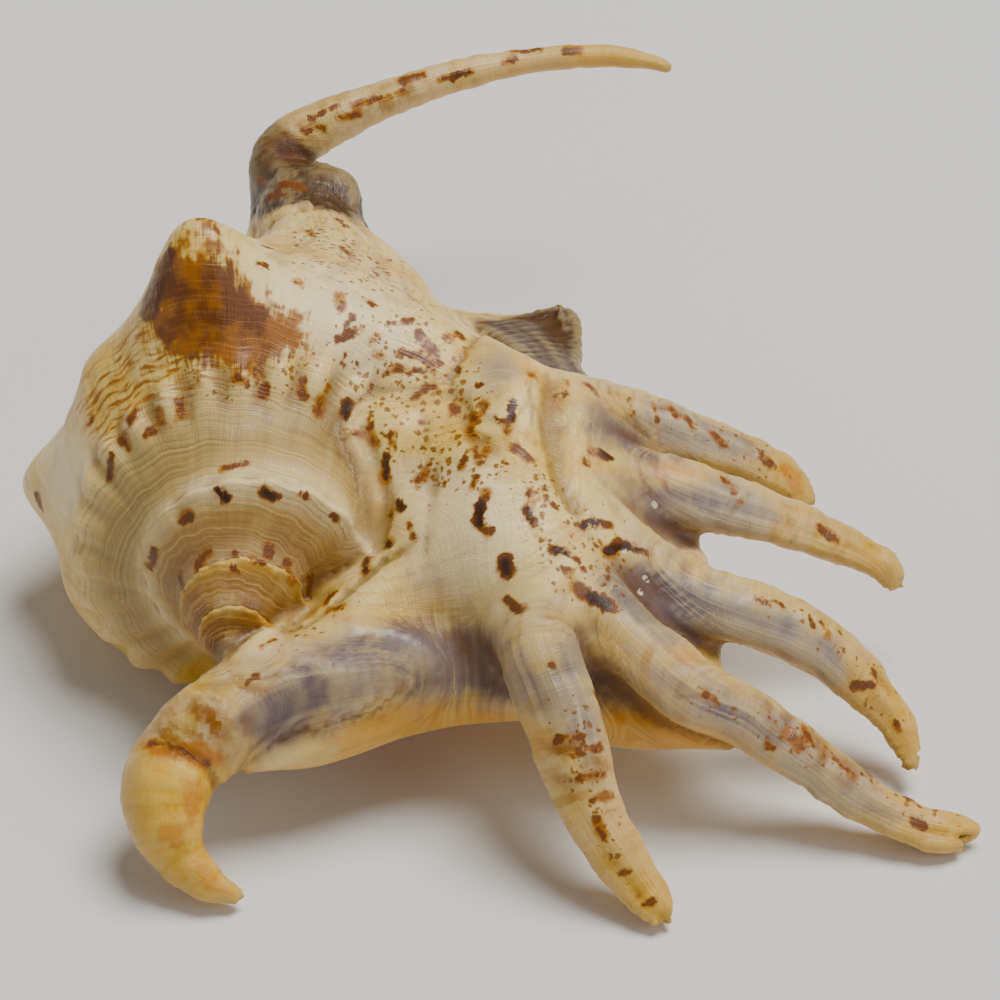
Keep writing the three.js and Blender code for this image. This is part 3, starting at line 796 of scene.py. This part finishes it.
def depth_inside(strokes):
    best = np.full(point_count, -1e3)
    for radius, *path in strokes:
        for start, run in zip(path, np.diff(path, axis=0)):
            share = unit((points - start) @ run / max(run @ run, 1e-9))
            gap = np.linalg.norm(points - start - share[:, None] * run, axis=1)
            best = np.maximum(best, radius - gap)
    return best


def within(strokes, softness):
    return unit(0.5 + depth_inside(strokes) / (2 * softness))


def pairs(numbers):
    return list(zip(numbers[::2], numbers[1::2]))


def zone(strokes, softness):
    pixel_size = depth.mean() / focal_pixels
    paths = [(width * pixel_size, np.cumsum(pairs(path), axis=0)) for width, *path in strokes]
    return within([[radius] + [seen(x, y) for x, y in path] for radius, path in paths], softness)


def area(outline, softness, behind):
    inside = np.zeros(point_count, dtype=bool)
    gap = np.full(point_count, 1e6)
    for (x0, y0), (x1, y1) in zip(outline, outline[1:] + outline[:1]):
        run_x, run_y = x1 - x0, y1 - y0
        from_x, from_y = pixel_x - x0, pixel_y - y0
        inside ^= ((y0 > pixel_y) != (y1 > pixel_y)) & (pixel_x < x0 + from_y * run_x / (run_y or 1e-9))
        share = unit((from_x * run_x + from_y * run_y) / (run_x**2 + run_y**2))
        gap = np.minimum(gap, np.hypot(from_x - share * run_x, from_y - share * run_y))
    signed = np.where(inside, gap, -gap)
    return unit(0.5 + signed / (2 * softness)) * unit((view_dot + behind) / 0.2)


def areas(outlines, softness, behind=0.0):
    return np.max([area(pairs(outline), softness, behind) for outline in outlines], axis=0)


# Rims and seams: how far each point stands out from, or lies below, the surface around it, for a painted
# highlight on the raised rims and painted shade in the seams
wire = sides_of(corners)
wire_count = np.bincount(wire.ravel(), minlength=point_count)


def spread_out(values, rounds):
    for _ in range(rounds):
        total = np.zeros_like(values)
        for start, end in ((0, 1), (1, 0)):
            for k in range(values.shape[1]):
                total[:, k] += np.bincount(wire[:, start], values[wire[:, end], k], point_count)
        values = total / np.maximum(wire_count, 1)[:, None]
    return values


relief = ((points - spread_out(points, 5)) * normals).sum(1)

# Which turn of the spire each point lies on: 1 to 5 on the ridges from the lip inward, 0 on the keel
level_table = np.zeros(body_radius.shape)
for here, back in zip(angles, turned):
    stations = [looked_up(spire_ridge, back / 360 + turn, 2) for turn in (5, 4, 3, 2, 1)]
    stations.append(max(looked_up(keel_rows, lip_angle + back, 2), stations[-1] + 1))
    level_table[here] = np.interp(depths, [-1, *stations, body_end], [6, 5, 4, 3, 2, 1, 0, -1])
level = level_table[row, column]
bead_share = np.zeros(point_count)
for turn, width in ((1, 0.07), (2, 0.05)):
    bead = 0.5 + 0.5 * bead_wave(turn, beads[turn - 1][1])[row]
    bead_share += bead * np.exp(-0.5 * ((level - turn) / width) ** 2)
on_body = unit(1.5 - body_away / 0.5)
on_spire = unit((level - 0.86) / 0.08) * on_body * unit((lip_away - 0.3) / 0.4)

# Markings that the photograph shows, in its pixels. First strokes: how softly they end in mm, then for each
# its half-width, the point where it starts and the steps that it takes
strokes = {
    "spot": [
        0.8, (5, 180,401, 1,10), (2, 160,410, 0,11), (2.5, 152,430, -5,7), (4, 112,455, -2,22),
        (3, 122,440, 6,7), (3.5, 137,410, -8,11), (3, 92,418, -2,6), (4, 253,370, 6,6), (3, 236,378, 9,5),
        (5, 265,387, -2,10), (4.5, 302,382, 1,15), (2, 327,386, 1,2), (4, 320,402, -1,10), (7, 347,406, -2,8),
        (3, 371,417, -1,11, -8,6), (2, 345,431, 15,4), (3, 371,439, 5,5), (3, 391,434, 2,17),
        (4.5, 387,457, -2,21), (4.5, 397,502, 5,6), (2, 390,514, 1,2), (4.5, 386,544, 3,1),
        (4.5, 368,558, -2,12), (3, 409,523, 5,16), (2.5, 418,478, 0,11), (2.5, 429,463, -6,15),
        (4.5, 487,493, -5,13), (7, 480,508, -1,13), (5, 474,521, 14,10), (2.5, 529,489, 2,17),
        (4, 523,509, 11,15), (3, 543,488, 5,10), (2, 552,503, 4,5), (8, 505,561, 3,11), (4.5, 506,600, 16,9),
        (4.5, 553,550, 11,0), (3, 562,551, 15,8), (5, 582,526, 10,-5), (3.5, 590,523, 20,2),
        (6, 578,588, 14,10), (6.5, 590,597, 20,9), (6, 606,552, 14,-7), (5.5, 618,542, 14,6),
        (3, 628,546, 19,7), (2.5, 561,568, 8,2), (2, 582,568, 3,1), (2, 543,565, 2,2), (4.5, 516,448, 12,11),
        (5, 513,401, -2,18), (2.5, 510,420, -3,10), (2, 532,375, 3,3), (4, 600,452, 12,6), (3, 590,451, 12,5),
        (3, 585,461, 3,2), (3, 588,385, 8,8), (2, 565,381, 1,15), (1.5, 555,397, 2,3), (4.5, 459,333, 4,4),
        (3, 482,321, 3,4), (3, 446,335, 2,6), (6, 420,334, 6,10), (4.5, 430,345, 10,17), (4, 405,352, 23,9),
        (2, 430,366, 7,7), (4, 396,370, 16,2), (2.5, 386,375, 6,-2), (2, 417,368, 5,3), (4.5, 337,341, 12,-9),
        (4, 338,296, 3,12), (3.5, 345,324, 9,-8), (2, 358,330, 6,-4), (3, 384,326, 18,-2),
        (3.5, 405,321, 6,-2), (3, 369,302, 6,4), (3, 343,366, 2,-10), (2, 353,361, 5,2), (2, 376,354, 5,3),
        (2, 370,342, 5,-6), (3, 424,389, 10,-2), (3, 411,400, 10,-7), (3.5, 452,406, 5,5),
        (3.5, 471,416, 5,4), (3, 470,430, 4,6), (2.5, 481,403, 5,3), (3, 496,417, 2,5), (2, 476,383, 5,4),
        (2, 457,368, 3,3), (3, 464,458, -2,8), (2, 472,450, 9,14), (2.5, 485,450, -4,16),
        (2.5, 476,477, -3,10), (2.5, 504,461, 2,7), (2, 497,473, 1,5), (2, 443,482, 2,5), (3.5, 339,219, 7,8),
        (3, 308,230, 3,5), (3, 263,246, 9,3), (3.5, 259,264, 8,2), (3, 296,282, 5,3), (4, 342,247, 5,5),
        (2, 375,272, 3,4), (2, 399,258, 3,4), (4.5, 454,76, 15,-4), (2, 440,79, 10,-2),
        (2.5, 305,120, 30,-13), (2, 352,104, 52,-12), (4.5, 402,80, 19,-5), (3.5, 515,51, 25,-2),
        (4, 565,50, 12,0), (3, 503,62, 13,-2), (2.5, 338,119, 22,-5), (3, 303,132, 23,-5),
        (5.5, 278,187, 23,1), (4, 268,196, 17,-1), (3, 258,180, 8,4), (5, 218,491, 8,7), (5, 264,493, 10,4),
        (2.5, 222,469, 25,-6), (4.5, 183,519, 7,-2), (3, 297,496, 9,1), (2.5, 333,516, 4,4),
        (3.5, 155,551, -4,16), (4.5, 207,553, -8,13), (3, 235,553, 0,4), (4.5, 270,549, -3,7),
        (2.5, 286,562, 3,2), (3, 233,569, 3,2), (3, 310,578, -1,19), (2.5, 180,575, 3,13), (5, 37,494, 4,13),
        (3.5, 333,594, -6,8), (3.5, 331,610, 9,-2), (3, 262,646, 11,-7), (2.5, 246,684, 10,-8),
        (2, 548,661, 7,5), (2.5, 697,689, 19,12), (4, 788,733, 12,13), (3.5, 805,730, 7,14),
        (3, 766,747, 8,2), (2.5, 834,760, 18,16), (4.5, 915,820, 8,6), (3, 757,599, 13,6),
        (2.5, 776,602, 6,3), (2.5, 811,618, 3,10), (2.5, 822,622, 4,11), (4.5, 852,684, 20,2),
        (3, 873,673, 8,7), (3.5, 895,722, 4,7), (3.5, 820,528, 16,13), (2, 734,494, 6,6), (2, 722,479, 14,10),
        (4.5, 763,457, 6,7), (2, 629,399, 4,17), (2, 654,404, 4,17), (2.5, 668,407, 8,9), (3, 688,419, 4,6),
        (2.5, 713,434, 13,12), (3, 556,739, 27,-4), (2.5, 572,752, 28,-4), (2.5, 576,779, 27,-4),
        (2, 590,800, 21,-3), (3, 597,820, 7,16), (3, 150,744, 30,4), (3, 186,752, 24,12),
        (2.5, 645,905, 10,-5), (2.5, 622,873, 8,-2),
    ],
    "dark": [
        0.7, (7, 480,505, 0,18), (5, 530,508, 1,12), (8, 593,597, 13,7), (6, 505,562, 2,9),
        (7, 584,524, 14,-2), (6, 556,550, 14,3), (8, 608,551, 32,-6), (6, 512,402, -1,16), (5, 602,453, 9,4),
        (5, 397,502, 5,6), (5, 386,458, 0,18), (6, 347,406, -2,8), (6, 219,491, 7,7), (5, 266,493, 7,4),
        (5, 386,544, 3,1), (4, 455,75, 13,-3), (4, 368,558, -2,12),
    ],
    "purple": [
        0.6, (3.5, 640,692, 50,6, 18,-8), (2.5, 672,643, 34,-3, 40,-8), (3, 730,514, 18,-20),
        (3, 376,632, -16,8), (3, 526,382, 6,20, 0,24), (11, 322,172, 30,24), (7, 258,160, 42,8),
        (5, 262,196, 18,-12), (1.5, 338,262, 34,14, 32,16, 34,26), (2, 386,480, -2,40, -10,40),
    ],
    "white": [0.4, (3, 653,502, 2,4), (3, 623,550, 3,1), (3, 645,578, 2,2), (3, 639,591, 2,2)],
}

# Fields with soft edges: how softly they end in pixels, then the points of their outlines
fields = {
    "patch": [
        20,
        (166,248, 196,252, 220,258, 238,272, 256,294, 276,310, 302,314, 304,348, 278,356, 260,370, 236,372,
         212,364, 186,362, 162,350, 148,326, 154,288),
        (192,218, 206,219, 216,232, 224,250, 238,272, 228,278, 212,256, 206,236),
        (180,238, 192,228, 197,236, 186,260, 172,262),
    ],
    # The left edge of the hump, dark reddish-brown: partly its own darker brown, partly a painted sheen
    "brown_and_painted_sheen": [6, (176,250, 166,284, 156,318, 146,322, 138,316, 146,292, 160,262, 168,246)],
    "streak": [
        12,
        (140,318, 168,340, 200,354, 240,362, 262,352, 292,340, 280,366, 232,380, 190,390, 150,404, 122,440,
         104,456, 92,430, 72,420, 84,388, 104,352),
    ],
    "warm": [
        12, (78,470, 110,470, 96,540, 104,600, 150,640, 180,672, 150,660, 100,624, 84,560),
        (540,380, 600,390, 640,396, 620,404, 560,408, 540,430),
        (560,445, 620,462, 690,470, 735,482, 700,488, 630,480, 570,466),
        (480,340, 520,345, 536,372, 520,402, 492,380),
    ],
    "mauve": [
        22,
        (230,734, 242,698, 284,666, 330,644, 372,628, 400,624, 400,690, 376,696, 336,716, 296,738, 262,752),
        (380,626, 450,624, 500,636, 526,656, 542,690, 530,716, 500,704, 450,694, 380,696),
        (556,600, 574,626, 600,652, 634,674, 672,690, 700,696, 706,712, 660,706, 604,700, 572,680, 552,640),
        (598,566, 630,560, 668,570, 700,590, 734,606, 716,636, 690,646, 652,636, 622,612, 604,594),
        (616,482, 656,480, 700,500, 696,530, 690,562, 664,540, 646,512, 620,496),
        (574,402, 616,414, 654,430, 672,452, 636,458, 604,446, 582,424),
        (526,664, 552,668, 584,684, 590,730, 566,724, 540,700),
        (662,664, 700,676, 756,704, 784,738, 750,742, 700,716, 664,694),
    ],
    "bluish": [
        18, (482,352, 504,350, 514,370, 502,390, 486,378),
        (724,620, 780,626, 830,650, 856,690, 830,690, 780,660, 730,650),
        (640,492, 700,494, 760,500, 780,520, 720,540, 660,530),
        (800,760, 860,790, 900,812, 880,824, 830,806, 796,784),
        (640,566, 700,584, 760,606, 812,632, 800,650, 740,652, 690,640, 650,610),
        (700,420, 740,436, 764,456, 748,470, 712,452), (730,720, 800,760, 850,800, 830,812, 780,784, 736,744),
        (690,694, 730,706, 768,726, 786,746, 740,730, 700,716),
        (700,590, 752,604, 800,622, 820,640, 776,646, 724,640),
        (690,484, 736,486, 748,504, 716,532, 700,548, 692,520), (636,404, 690,420, 720,440, 700,458, 660,446),
        (560,690, 590,696, 600,740, 590,770, 566,740), (760,700, 830,752, 880,790, 840,780, 780,742),
    ],
    "peach": [
        14, (340,730, 380,712, 430,700, 480,700, 522,712, 540,732, 538,752, 470,752, 400,764, 340,764),
        (592,702, 640,708, 700,716, 744,730, 790,752, 740,756, 660,756, 604,752),
        (664,644, 706,644, 752,638, 730,652, 690,664, 670,660), (682,552, 696,544, 702,552, 694,566, 684,566),
        (640,464, 690,470, 704,484, 660,478),
    ],
    "ember": [
        16, (430,734, 470,722, 520,720, 540,736, 538,756, 440,760),
        (604,738, 660,742, 740,742, 780,752, 700,758, 610,758),
        (318,164, 346,170, 364,196, 360,214, 350,196, 334,178),
    ],
    "gold": [
        22, (140,750, 226,764, 232,790, 212,840, 240,890, 236,910, 190,900, 140,850, 120,800),
        (182,664, 204,660, 214,672, 200,694, 182,694), (770,460, 800,468, 812,500, 790,492),
        (880,690, 908,700, 922,764, 904,770, 890,730), (860,545, 886,552, 898,590, 880,580),
        (930,808, 990,820, 990,850, 950,850), (630,866, 660,880, 684,930, 640,930),
        (560,40, 640,40, 680,62, 640,72, 580,66),
    ],
    "orange": [
        11, (196,862, 214,872, 238,892, 232,900, 204,890), (156,820, 186,826, 176,846, 160,842),
        (150,742, 200,742, 230,756, 222,772, 180,758, 146,764), (846,680, 880,680, 878,694, 850,694),
        (784,470, 800,476, 800,490, 786,482), (184,780, 204,776, 200,820, 186,826),
    ],
    "band": [
        14,
        (178,700, 206,688, 240,682, 262,690, 240,706, 246,724, 236,752, 196,748, 146,752, 146,734, 164,712),
        (544,740, 600,734, 612,770, 566,784, 552,766),
        (264,130, 300,118, 340,100, 420,80, 416,92, 350,116, 316,136, 300,160, 264,158),
        (760,690, 806,726, 850,760, 872,790, 830,774, 780,738),
    ],
    "wine": [
        7, (486,322, 530,318, 560,296, 600,300, 604,384, 566,382, 530,366),
        (238,140, 288,138, 316,160, 350,160, 372,180, 370,226, 336,210, 290,204, 262,214, 236,190),
        (470,318, 500,322, 500,336, 476,330),
    ],
    "chalk": [
        34, (300,250, 360,262, 400,300, 420,330, 380,390, 330,380, 300,340, 290,290),
        (212,226, 240,236, 290,262, 310,300, 300,318, 270,308, 250,288, 232,258),
        (400,470, 480,460, 520,480, 520,560, 470,600, 410,590),
        (44,444, 80,430, 100,470, 96,520, 60,520, 40,500),
    ],
    "fleck": [
        24, (320,310, 420,300, 470,340, 500,400, 520,480, 480,500, 400,500, 340,400),
        (270,230, 320,200, 400,250, 440,320, 380,300, 300,290), (180,350, 330,330, 340,400, 200,400),
        (500,440, 560,470, 640,540, 620,620, 560,600, 520,540), (544,680, 600,700, 640,880, 600,870, 560,780),
        (690,680, 800,720, 960,800, 950,840, 800,760, 700,710), (720,590, 840,620, 910,720, 880,730, 800,640),
        (640,390, 740,430, 800,470, 780,490, 700,430), (260,640, 340,590, 360,610, 290,660),
    ],
}
smooth_fields = ("mauve", "bluish", "peach", "ember", "gold", "warm", "chalk", "wine")

# Dark places on the front lobe and at the root of the canal, also where the photograph doesn't show them:
# half-width and points, in mm
dark_places = [
    (4.5, (30, 50, 21.5), (30, 57, 20)), (2.5, (33.5, 49, 20.5), (32.5, 59, 19.5)),
    (5.5, (2, 76, 22), (5, 77, 23)), (4.5, (-2, 81, 19), (-3, 86, 21)),
]

# The unseen back and underside carry spots of the same kind, in places drawn by lot
unseen_spot_count = 110
dice = np.random.default_rng(11)
opening_away = opening_distance(points)
unseen = np.argwhere((view_dot < -0.05) & (points[:, 2] > 3) & (opening_away > 3))[:, 0]
unseen_spots = []
for index in dice.choice(unseen, unseen_spot_count, replace=False):
    start = points[index]
    step = np.cross(normals[index], dice.normal(size=3))
    unseen_spots.append([dice.uniform(0.25, 0.7), start, start + step * dice.uniform(0.2, 1.1)])

layers = {name: zone(paths, softness) for name, (softness, *paths) in strokes.items()}
for name, (softness, *outlines) in fields.items():
    layers[name] = areas(outlines, softness, 0.2 if name == "wine" else 0)
layers["spot"] = np.maximum(layers["spot"], within(unseen_spots, 0.8))
layers["wine"] = np.maximum(layers["wine"] * unit((points[:, 1] - 37) / 4), within(dark_places, 1.5))
for name in smooth_fields:
    layers[name] = spread_out(layers[name][:, None], 5)[:, 0]
facing_in = np.maximum(unit(-body_distance(points) - 0.6), unit(-3 * normals[:, 2]))
layers |= {
    "finger": finger_share,
    "tip": tip_share,
    "rim": unit(relief / 0.16),
    "seam": unit(-relief / 0.14),
    "spire": on_spire,
    "bead": bead_share * on_body,
    "sure": sure,
    "level": (level + 1) / 7,
    "under": unit((-normals[:, 2] - 0.1) / 0.5),
    "opening": unit(1 - (opening_away - 0.2) / 3) * facing_in,
}

shell = smooth_object("conch", ((points - middle) * metres_per_mm).tolist(), faces)
for name, values in layers.items():
    stored = shell.data.attributes.new(name, "FLOAT", "POINT")
    stored.data.foreach_set("value", values.astype(np.float32))
stored = shell.data.attributes.new("flow", "FLOAT_VECTOR", "POINT")
stored.data.foreach_set("vector", flow.astype(np.float32).ravel())

# The paint: coats of colour, each where its layer says, with edges and streaks made by noise along the flow
shell_material = bpy.data.materials.new("shell_lime")
shell_material.use_nodes = True
tree = shell_material.node_tree


def linear(colour):
    channels = [value / 255 for value in colour]
    return [c / 12.92 if c < 0.04 else ((c + 0.055) / 1.055) ** 2.4 for c in channels] + [1]


def put(value, socket):
    """Links a node's output to a socket, or sets a number, a list for a vector or a tuple for a colour."""
    if isinstance(value, bpy.types.NodeSocket):
        tree.links.new(value, socket)
    else:
        socket.default_value = linear(value) if isinstance(value, tuple) else value


def new_node(kind, inputs, **settings):
    node = tree.nodes.new("ShaderNode" + kind)
    for setting, value in settings.items():
        setattr(node, setting, value)
    for name, value in inputs.items():
        put(value, node.inputs[name])
    return node


def layer(name):
    return new_node("Attribute", {}, attribute_name=name).outputs["Fac"]


def math_node(operation, *values):
    clamped = operation == "MULTIPLY"
    return new_node("Math", dict(enumerate(values)), operation=operation, use_clamp=clamped).outputs[0]


def times(a, b):
    return math_node("MULTIPLY", a, b)


def added(value, other, share):
    return math_node("MULTIPLY_ADD", other, share, value)


def nudged(value, noise_value, amount):
    return added(value, math_node("SUBTRACT", noise_value, 0.5), amount)


def between(start, end, share):
    return added(start, math_node("SUBTRACT", end, start), share)


def ramp(value, low, high):
    inputs = {"Value": value, "From Min": low, "From Max": high}
    return new_node("MapRange", inputs, interpolation_type="SMOOTHSTEP").outputs["Result"]


def ragged(name, noise_value, amount, low, high):
    return ramp(nudged(layer(name), noise_value, amount), low, high)


def mixed(share, under, over):
    return new_node("Mix", {0: share, 6: under, 7: over}, data_type="RGBA").outputs[2]


def coated(colour, coats):
    for share, strength, tone in coats:
        colour = mixed(times(share, strength), colour, tone)
    return colour


flow_place = new_node("Attribute", {}, attribute_name="flow").outputs["Vector"]
object_place = new_node("TexCoord", {}).outputs["Object"]


def cloud(scale, detail, place=object_place):
    return new_node("TexNoise", {"Scale": scale, "Detail": detail, "Vector": place}).outputs["Fac"]


def grain(along, across, detail, shift=0.0):
    inputs = {"Scale": [along, across, 1], "Location": [shift] * 3, "Vector": flow_place}
    mapping = new_node("Mapping", inputs)
    sure_share = layer("sure")
    streaky = times(cloud(1, detail, mapping.outputs["Vector"]), sure_share)
    return added(streaky, math_node("SUBTRACT", 1.0, sure_share), 0.5)


def dots(scale, widest, shift):
    wobble = new_node("TexNoise", {"Scale": scale * 1.3, "Vector": object_place}).outputs["Color"]
    inputs = {0: wobble, 1: [1 / scale] * 3, 2: object_place}
    shaken = new_node("VectorMath", inputs, operation="MULTIPLY_ADD")
    cells = new_node("TexVoronoi", {"Scale": scale, "Vector": shaken.outputs[0]})
    lot = new_node("SeparateColor", {"Color": cells.outputs["Color"]}).outputs["Red"]
    size = added(added(shift, layer("fleck"), widest), lot, -0.34)
    return ramp(math_node("SUBTRACT", size, cells.outputs["Distance"]), -0.06, 0.14)


streaks = grain(2.2, 0.25, 3)
wide_streaks = grain(0.7, 0.08, 2, 5)
threads = grain(0.02, 3.0, 2, 3)
cords = grain(0.05, 1.3, 3, 13)
crumbs = grain(1.1, 0.8, 4, 9)
spiral_streaks = grain(0.35, 1.5, 4, 31)
small_specks = cloud(900, 1.5)
fine_cloud = cloud(900, 5)
mid_cloud = cloud(260, 4)
soft_cloud = cloud(90, 3)

# Lime white and cream, with warm stains and streaks along the lines of growth
lime_colour = mixed(ramp(soft_cloud, 0.38, 0.62), (236, 212, 150), (241, 226, 180))
lime_colour = coated(lime_colour, [
    (ramp(mid_cloud, 0.5, 0.68), 0.5, (226, 186, 112)),
    (ramp(streaks, 0.48, 0.7), 0.45, (214, 168, 96)),
    (ramp(wide_streaks, 0.5, 0.66), 0.35, (206, 166, 104)),
    (ragged("chalk", mid_cloud, 0.9, 0.15, 0.85), 0.75, (246, 234, 204)),
    (ragged("warm", mid_cloud, 0.8, 0.25, 0.75), 0.5, (228, 184, 112)),
])

# The turns of the spire, from the lobe and keel of the last whorl to the apex: their own tones, with painted
# highlights on the crests of the turns and thin painted shadow lines just under their rims
turn_stops = [
    (0.0, (236, 208, 146)), (0.27, (240, 220, 166)), (0.295, (226, 208, 162)), (0.325, (188, 170, 126)),
    (0.36, (178, 160, 118)), (0.385, (194, 176, 132)), (0.402, (220, 204, 162)), (0.425, (238, 226, 192)),
    (0.448, (224, 206, 166)), (0.468, (182, 156, 112)), (0.52, (166, 140, 104)), (0.555, (198, 176, 136)),
    (0.562, (110, 80, 42)), (0.57, (222, 186, 116)), (0.59, (196, 160, 96)), (0.62, (166, 134, 90)),
    (0.69, (152, 120, 80)), (0.705, (100, 68, 28)), (0.714, (212, 168, 86)), (0.74, (168, 120, 44)),
    (0.8, (134, 94, 34)), (0.85, (142, 106, 56)), (0.87, (126, 100, 90)), (1.0, (176, 158, 146)),
]
turn_node = new_node("ValToRGB", {"Fac": layer("level")})
elements = turn_node.color_ramp.elements
while len(elements) < len(turn_stops):
    elements.new(0.5)
for element, (position, tone) in zip(elements, turn_stops):
    element.position = position
    element.color = linear(tone)
turn_colour = coated(turn_node.outputs["Color"], [
    (ramp(threads, 0.5, 0.7), 0.5, (226, 200, 148)),
    (ramp(threads, 0.48, 0.3), 0.4, (126, 108, 78)),
    (ramp(mid_cloud, 0.5, 0.7), 0.5, (200, 178, 128)),
])

# Fingers: cream with cross bands, yellow toward their tips
finger_colour = mixed(ramp(mid_cloud, 0.4, 0.6), (198, 172, 124), (212, 200, 176))
finger_bands = times(layer("finger"), ramp(grain(0.5, 0.16, 4, 51), 0.5, 0.72))
gold_colour = mixed(ramp(grain(0.6, 0.14, 4, 77), 0.48, 0.72), (246, 212, 122), (222, 160, 66))

# Soft fields: peach margins, mauve and bluish valleys crossed by fine pale cords
peach_colour = mixed(ramp(cords, 0.4, 0.62), (218, 160, 92), (232, 190, 122))
pale_cords = ramp(cords, 0.48, 0.7)
bluish_colour = mixed(pale_cords, (136, 130, 134), (186, 176, 166))
mauve_colour = mixed(ramp(soft_cloud, 0.4, 0.6), (112, 102, 110), (136, 122, 124))
mauve_colour = coated(mauve_colour, [(pale_cords, 0.55, (188, 174, 156))])
mauve_share = nudged(nudged(layer("mauve"), cords, -0.6), mid_cloud, 0.9)
wine_colour = mixed(ramp(cords, 0.4, 0.6), (44, 30, 26), (92, 72, 60))

# Brown markings, from soft streaks to spots with rusty edges
streak_share = times(layer("streak"), ramp(spiral_streaks, 0.44, 0.66))
band_share = times(layer("band"), ramp(grain(0.5, 0.4, 5, 47), 0.36, 0.66))
patch_colour = mixed(ramp(mid_cloud, 0.4, 0.6), (124, 76, 4), (166, 110, 16))
patch_share = nudged(nudged(layer("patch"), small_specks, 0.9), streaks, 0.9)
spot_edge = between(crumbs, small_specks, 0.5)
halo_edge = between(spot_edge, mid_cloud, 0.6)
halo_colour = mixed(ramp(mid_cloud, 0.35, 0.65), (190, 134, 60), (166, 108, 36))
spot_colour = mixed(ragged("dark", mid_cloud, 0.6, 0.35, 0.85), (132, 82, 20), (76, 44, 10))

# All coats in the order in which they lie, with painted shade in the seams, painted highlights on the rims
# and the warm underside
colour = coated(lime_colour, [
    (layer("spire"), 1, turn_colour),
    (ragged("bead", mid_cloud, 1.2, 0.35, 0.8), 0.7, (240, 224, 180)),
    (layer("finger"), 0.6, finger_colour),
    (finger_bands, 0.7, (172, 124, 70)),
    (ragged("gold", mid_cloud, 0.9, 0.2, 0.85), 0.8, gold_colour),
    (ramp(layer("tip"), 0.1, 0.8), 0.6, (200, 158, 80)),
    (ragged("orange", mid_cloud, 1.5, 0.3, 0.8), 0.7, (198, 122, 38)),
    (ragged("peach", mid_cloud, 0.5, 0.1, 0.85), 0.85, peach_colour),
    (ragged("ember", mid_cloud, 0.4, 0.15, 0.9), 0.6, (196, 114, 50)),
    (ragged("bluish", mid_cloud, 0.9, 0.1, 0.7), 0.85, bluish_colour),
    (ramp(mauve_share, 0.12, 0.85), 0.92, mauve_colour),
    (ragged("purple", mid_cloud, 0.4, 0.3, 0.8), 0.6, (104, 66, 62)),
    (ragged("wine", mid_cloud, 0.8, 0.15, 0.6), 0.95, wine_colour),
    # Painted shade: darker brown where the surface lies below its surroundings; painted highlight: paler
    # cream where it stands out
    (layer("seam"), 0.55, (112, 80, 44)),
    (layer("rim"), 0.3, (244, 226, 176)),
    (streak_share, 0.85, (158, 98, 30)),
    (band_share, 0.8, (140, 86, 34)),
    (dots(1150, 0.42, 0.08), 0.8, (144, 98, 42)),
    (dots(680, 0.37, 0.0), 0.85, (126, 80, 26)),
    (ramp(patch_share, 0.3, 0.75), 1, patch_colour),
    # Painted sheen on the left edge of the hump, over its own darker brown
    (ragged("brown_and_painted_sheen", mid_cloud, 0.6, 0.3, 0.7), 0.8, (96, 56, 24)),
    (ragged("spot", halo_edge, 2.0, 0.24, 0.6), 0.7, halo_colour),
    (ragged("spot", spot_edge, 1.5, 0.4, 0.62), 1, spot_colour),
    (ragged("white", crumbs, 0.4, 0.42, 0.58), 0.8, (244, 234, 214)),
    (layer("under"), 0.5, (240, 206, 146)),
    (layer("opening"), 1, (232, 120, 40)),
])
deepened = new_node("HueSaturation", {"Saturation": 1.24, "Color": colour})
contrast = new_node("Gamma", {"Gamma": 1.22, "Color": deepened.outputs["Color"]})
roughness = added(0.28, ramp(fine_cloud, 0.3, 0.7), 0.22)
height = times(threads, 0.5)
for noise_value, share in ((grain(4.5, 0.18, 4, 61), 0.6), (grain(0.12, 2.2, 3, 87), 0.6), (fine_cloud, 0.3)):
    height = added(height, noise_value, share)
bump = new_node("Bump", {"Strength": 0.5, "Distance": 0.00028, "Height": height})
surface = {"Base Color": contrast.outputs["Color"], "Roughness": roughness, "Normal": bump.outputs["Normal"]}
for name, value in surface.items():
    put(value, tree.nodes["Principled BSDF"].inputs[name])
shell.data.materials.append(shell_material)

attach(shell, "root")
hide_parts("shell")
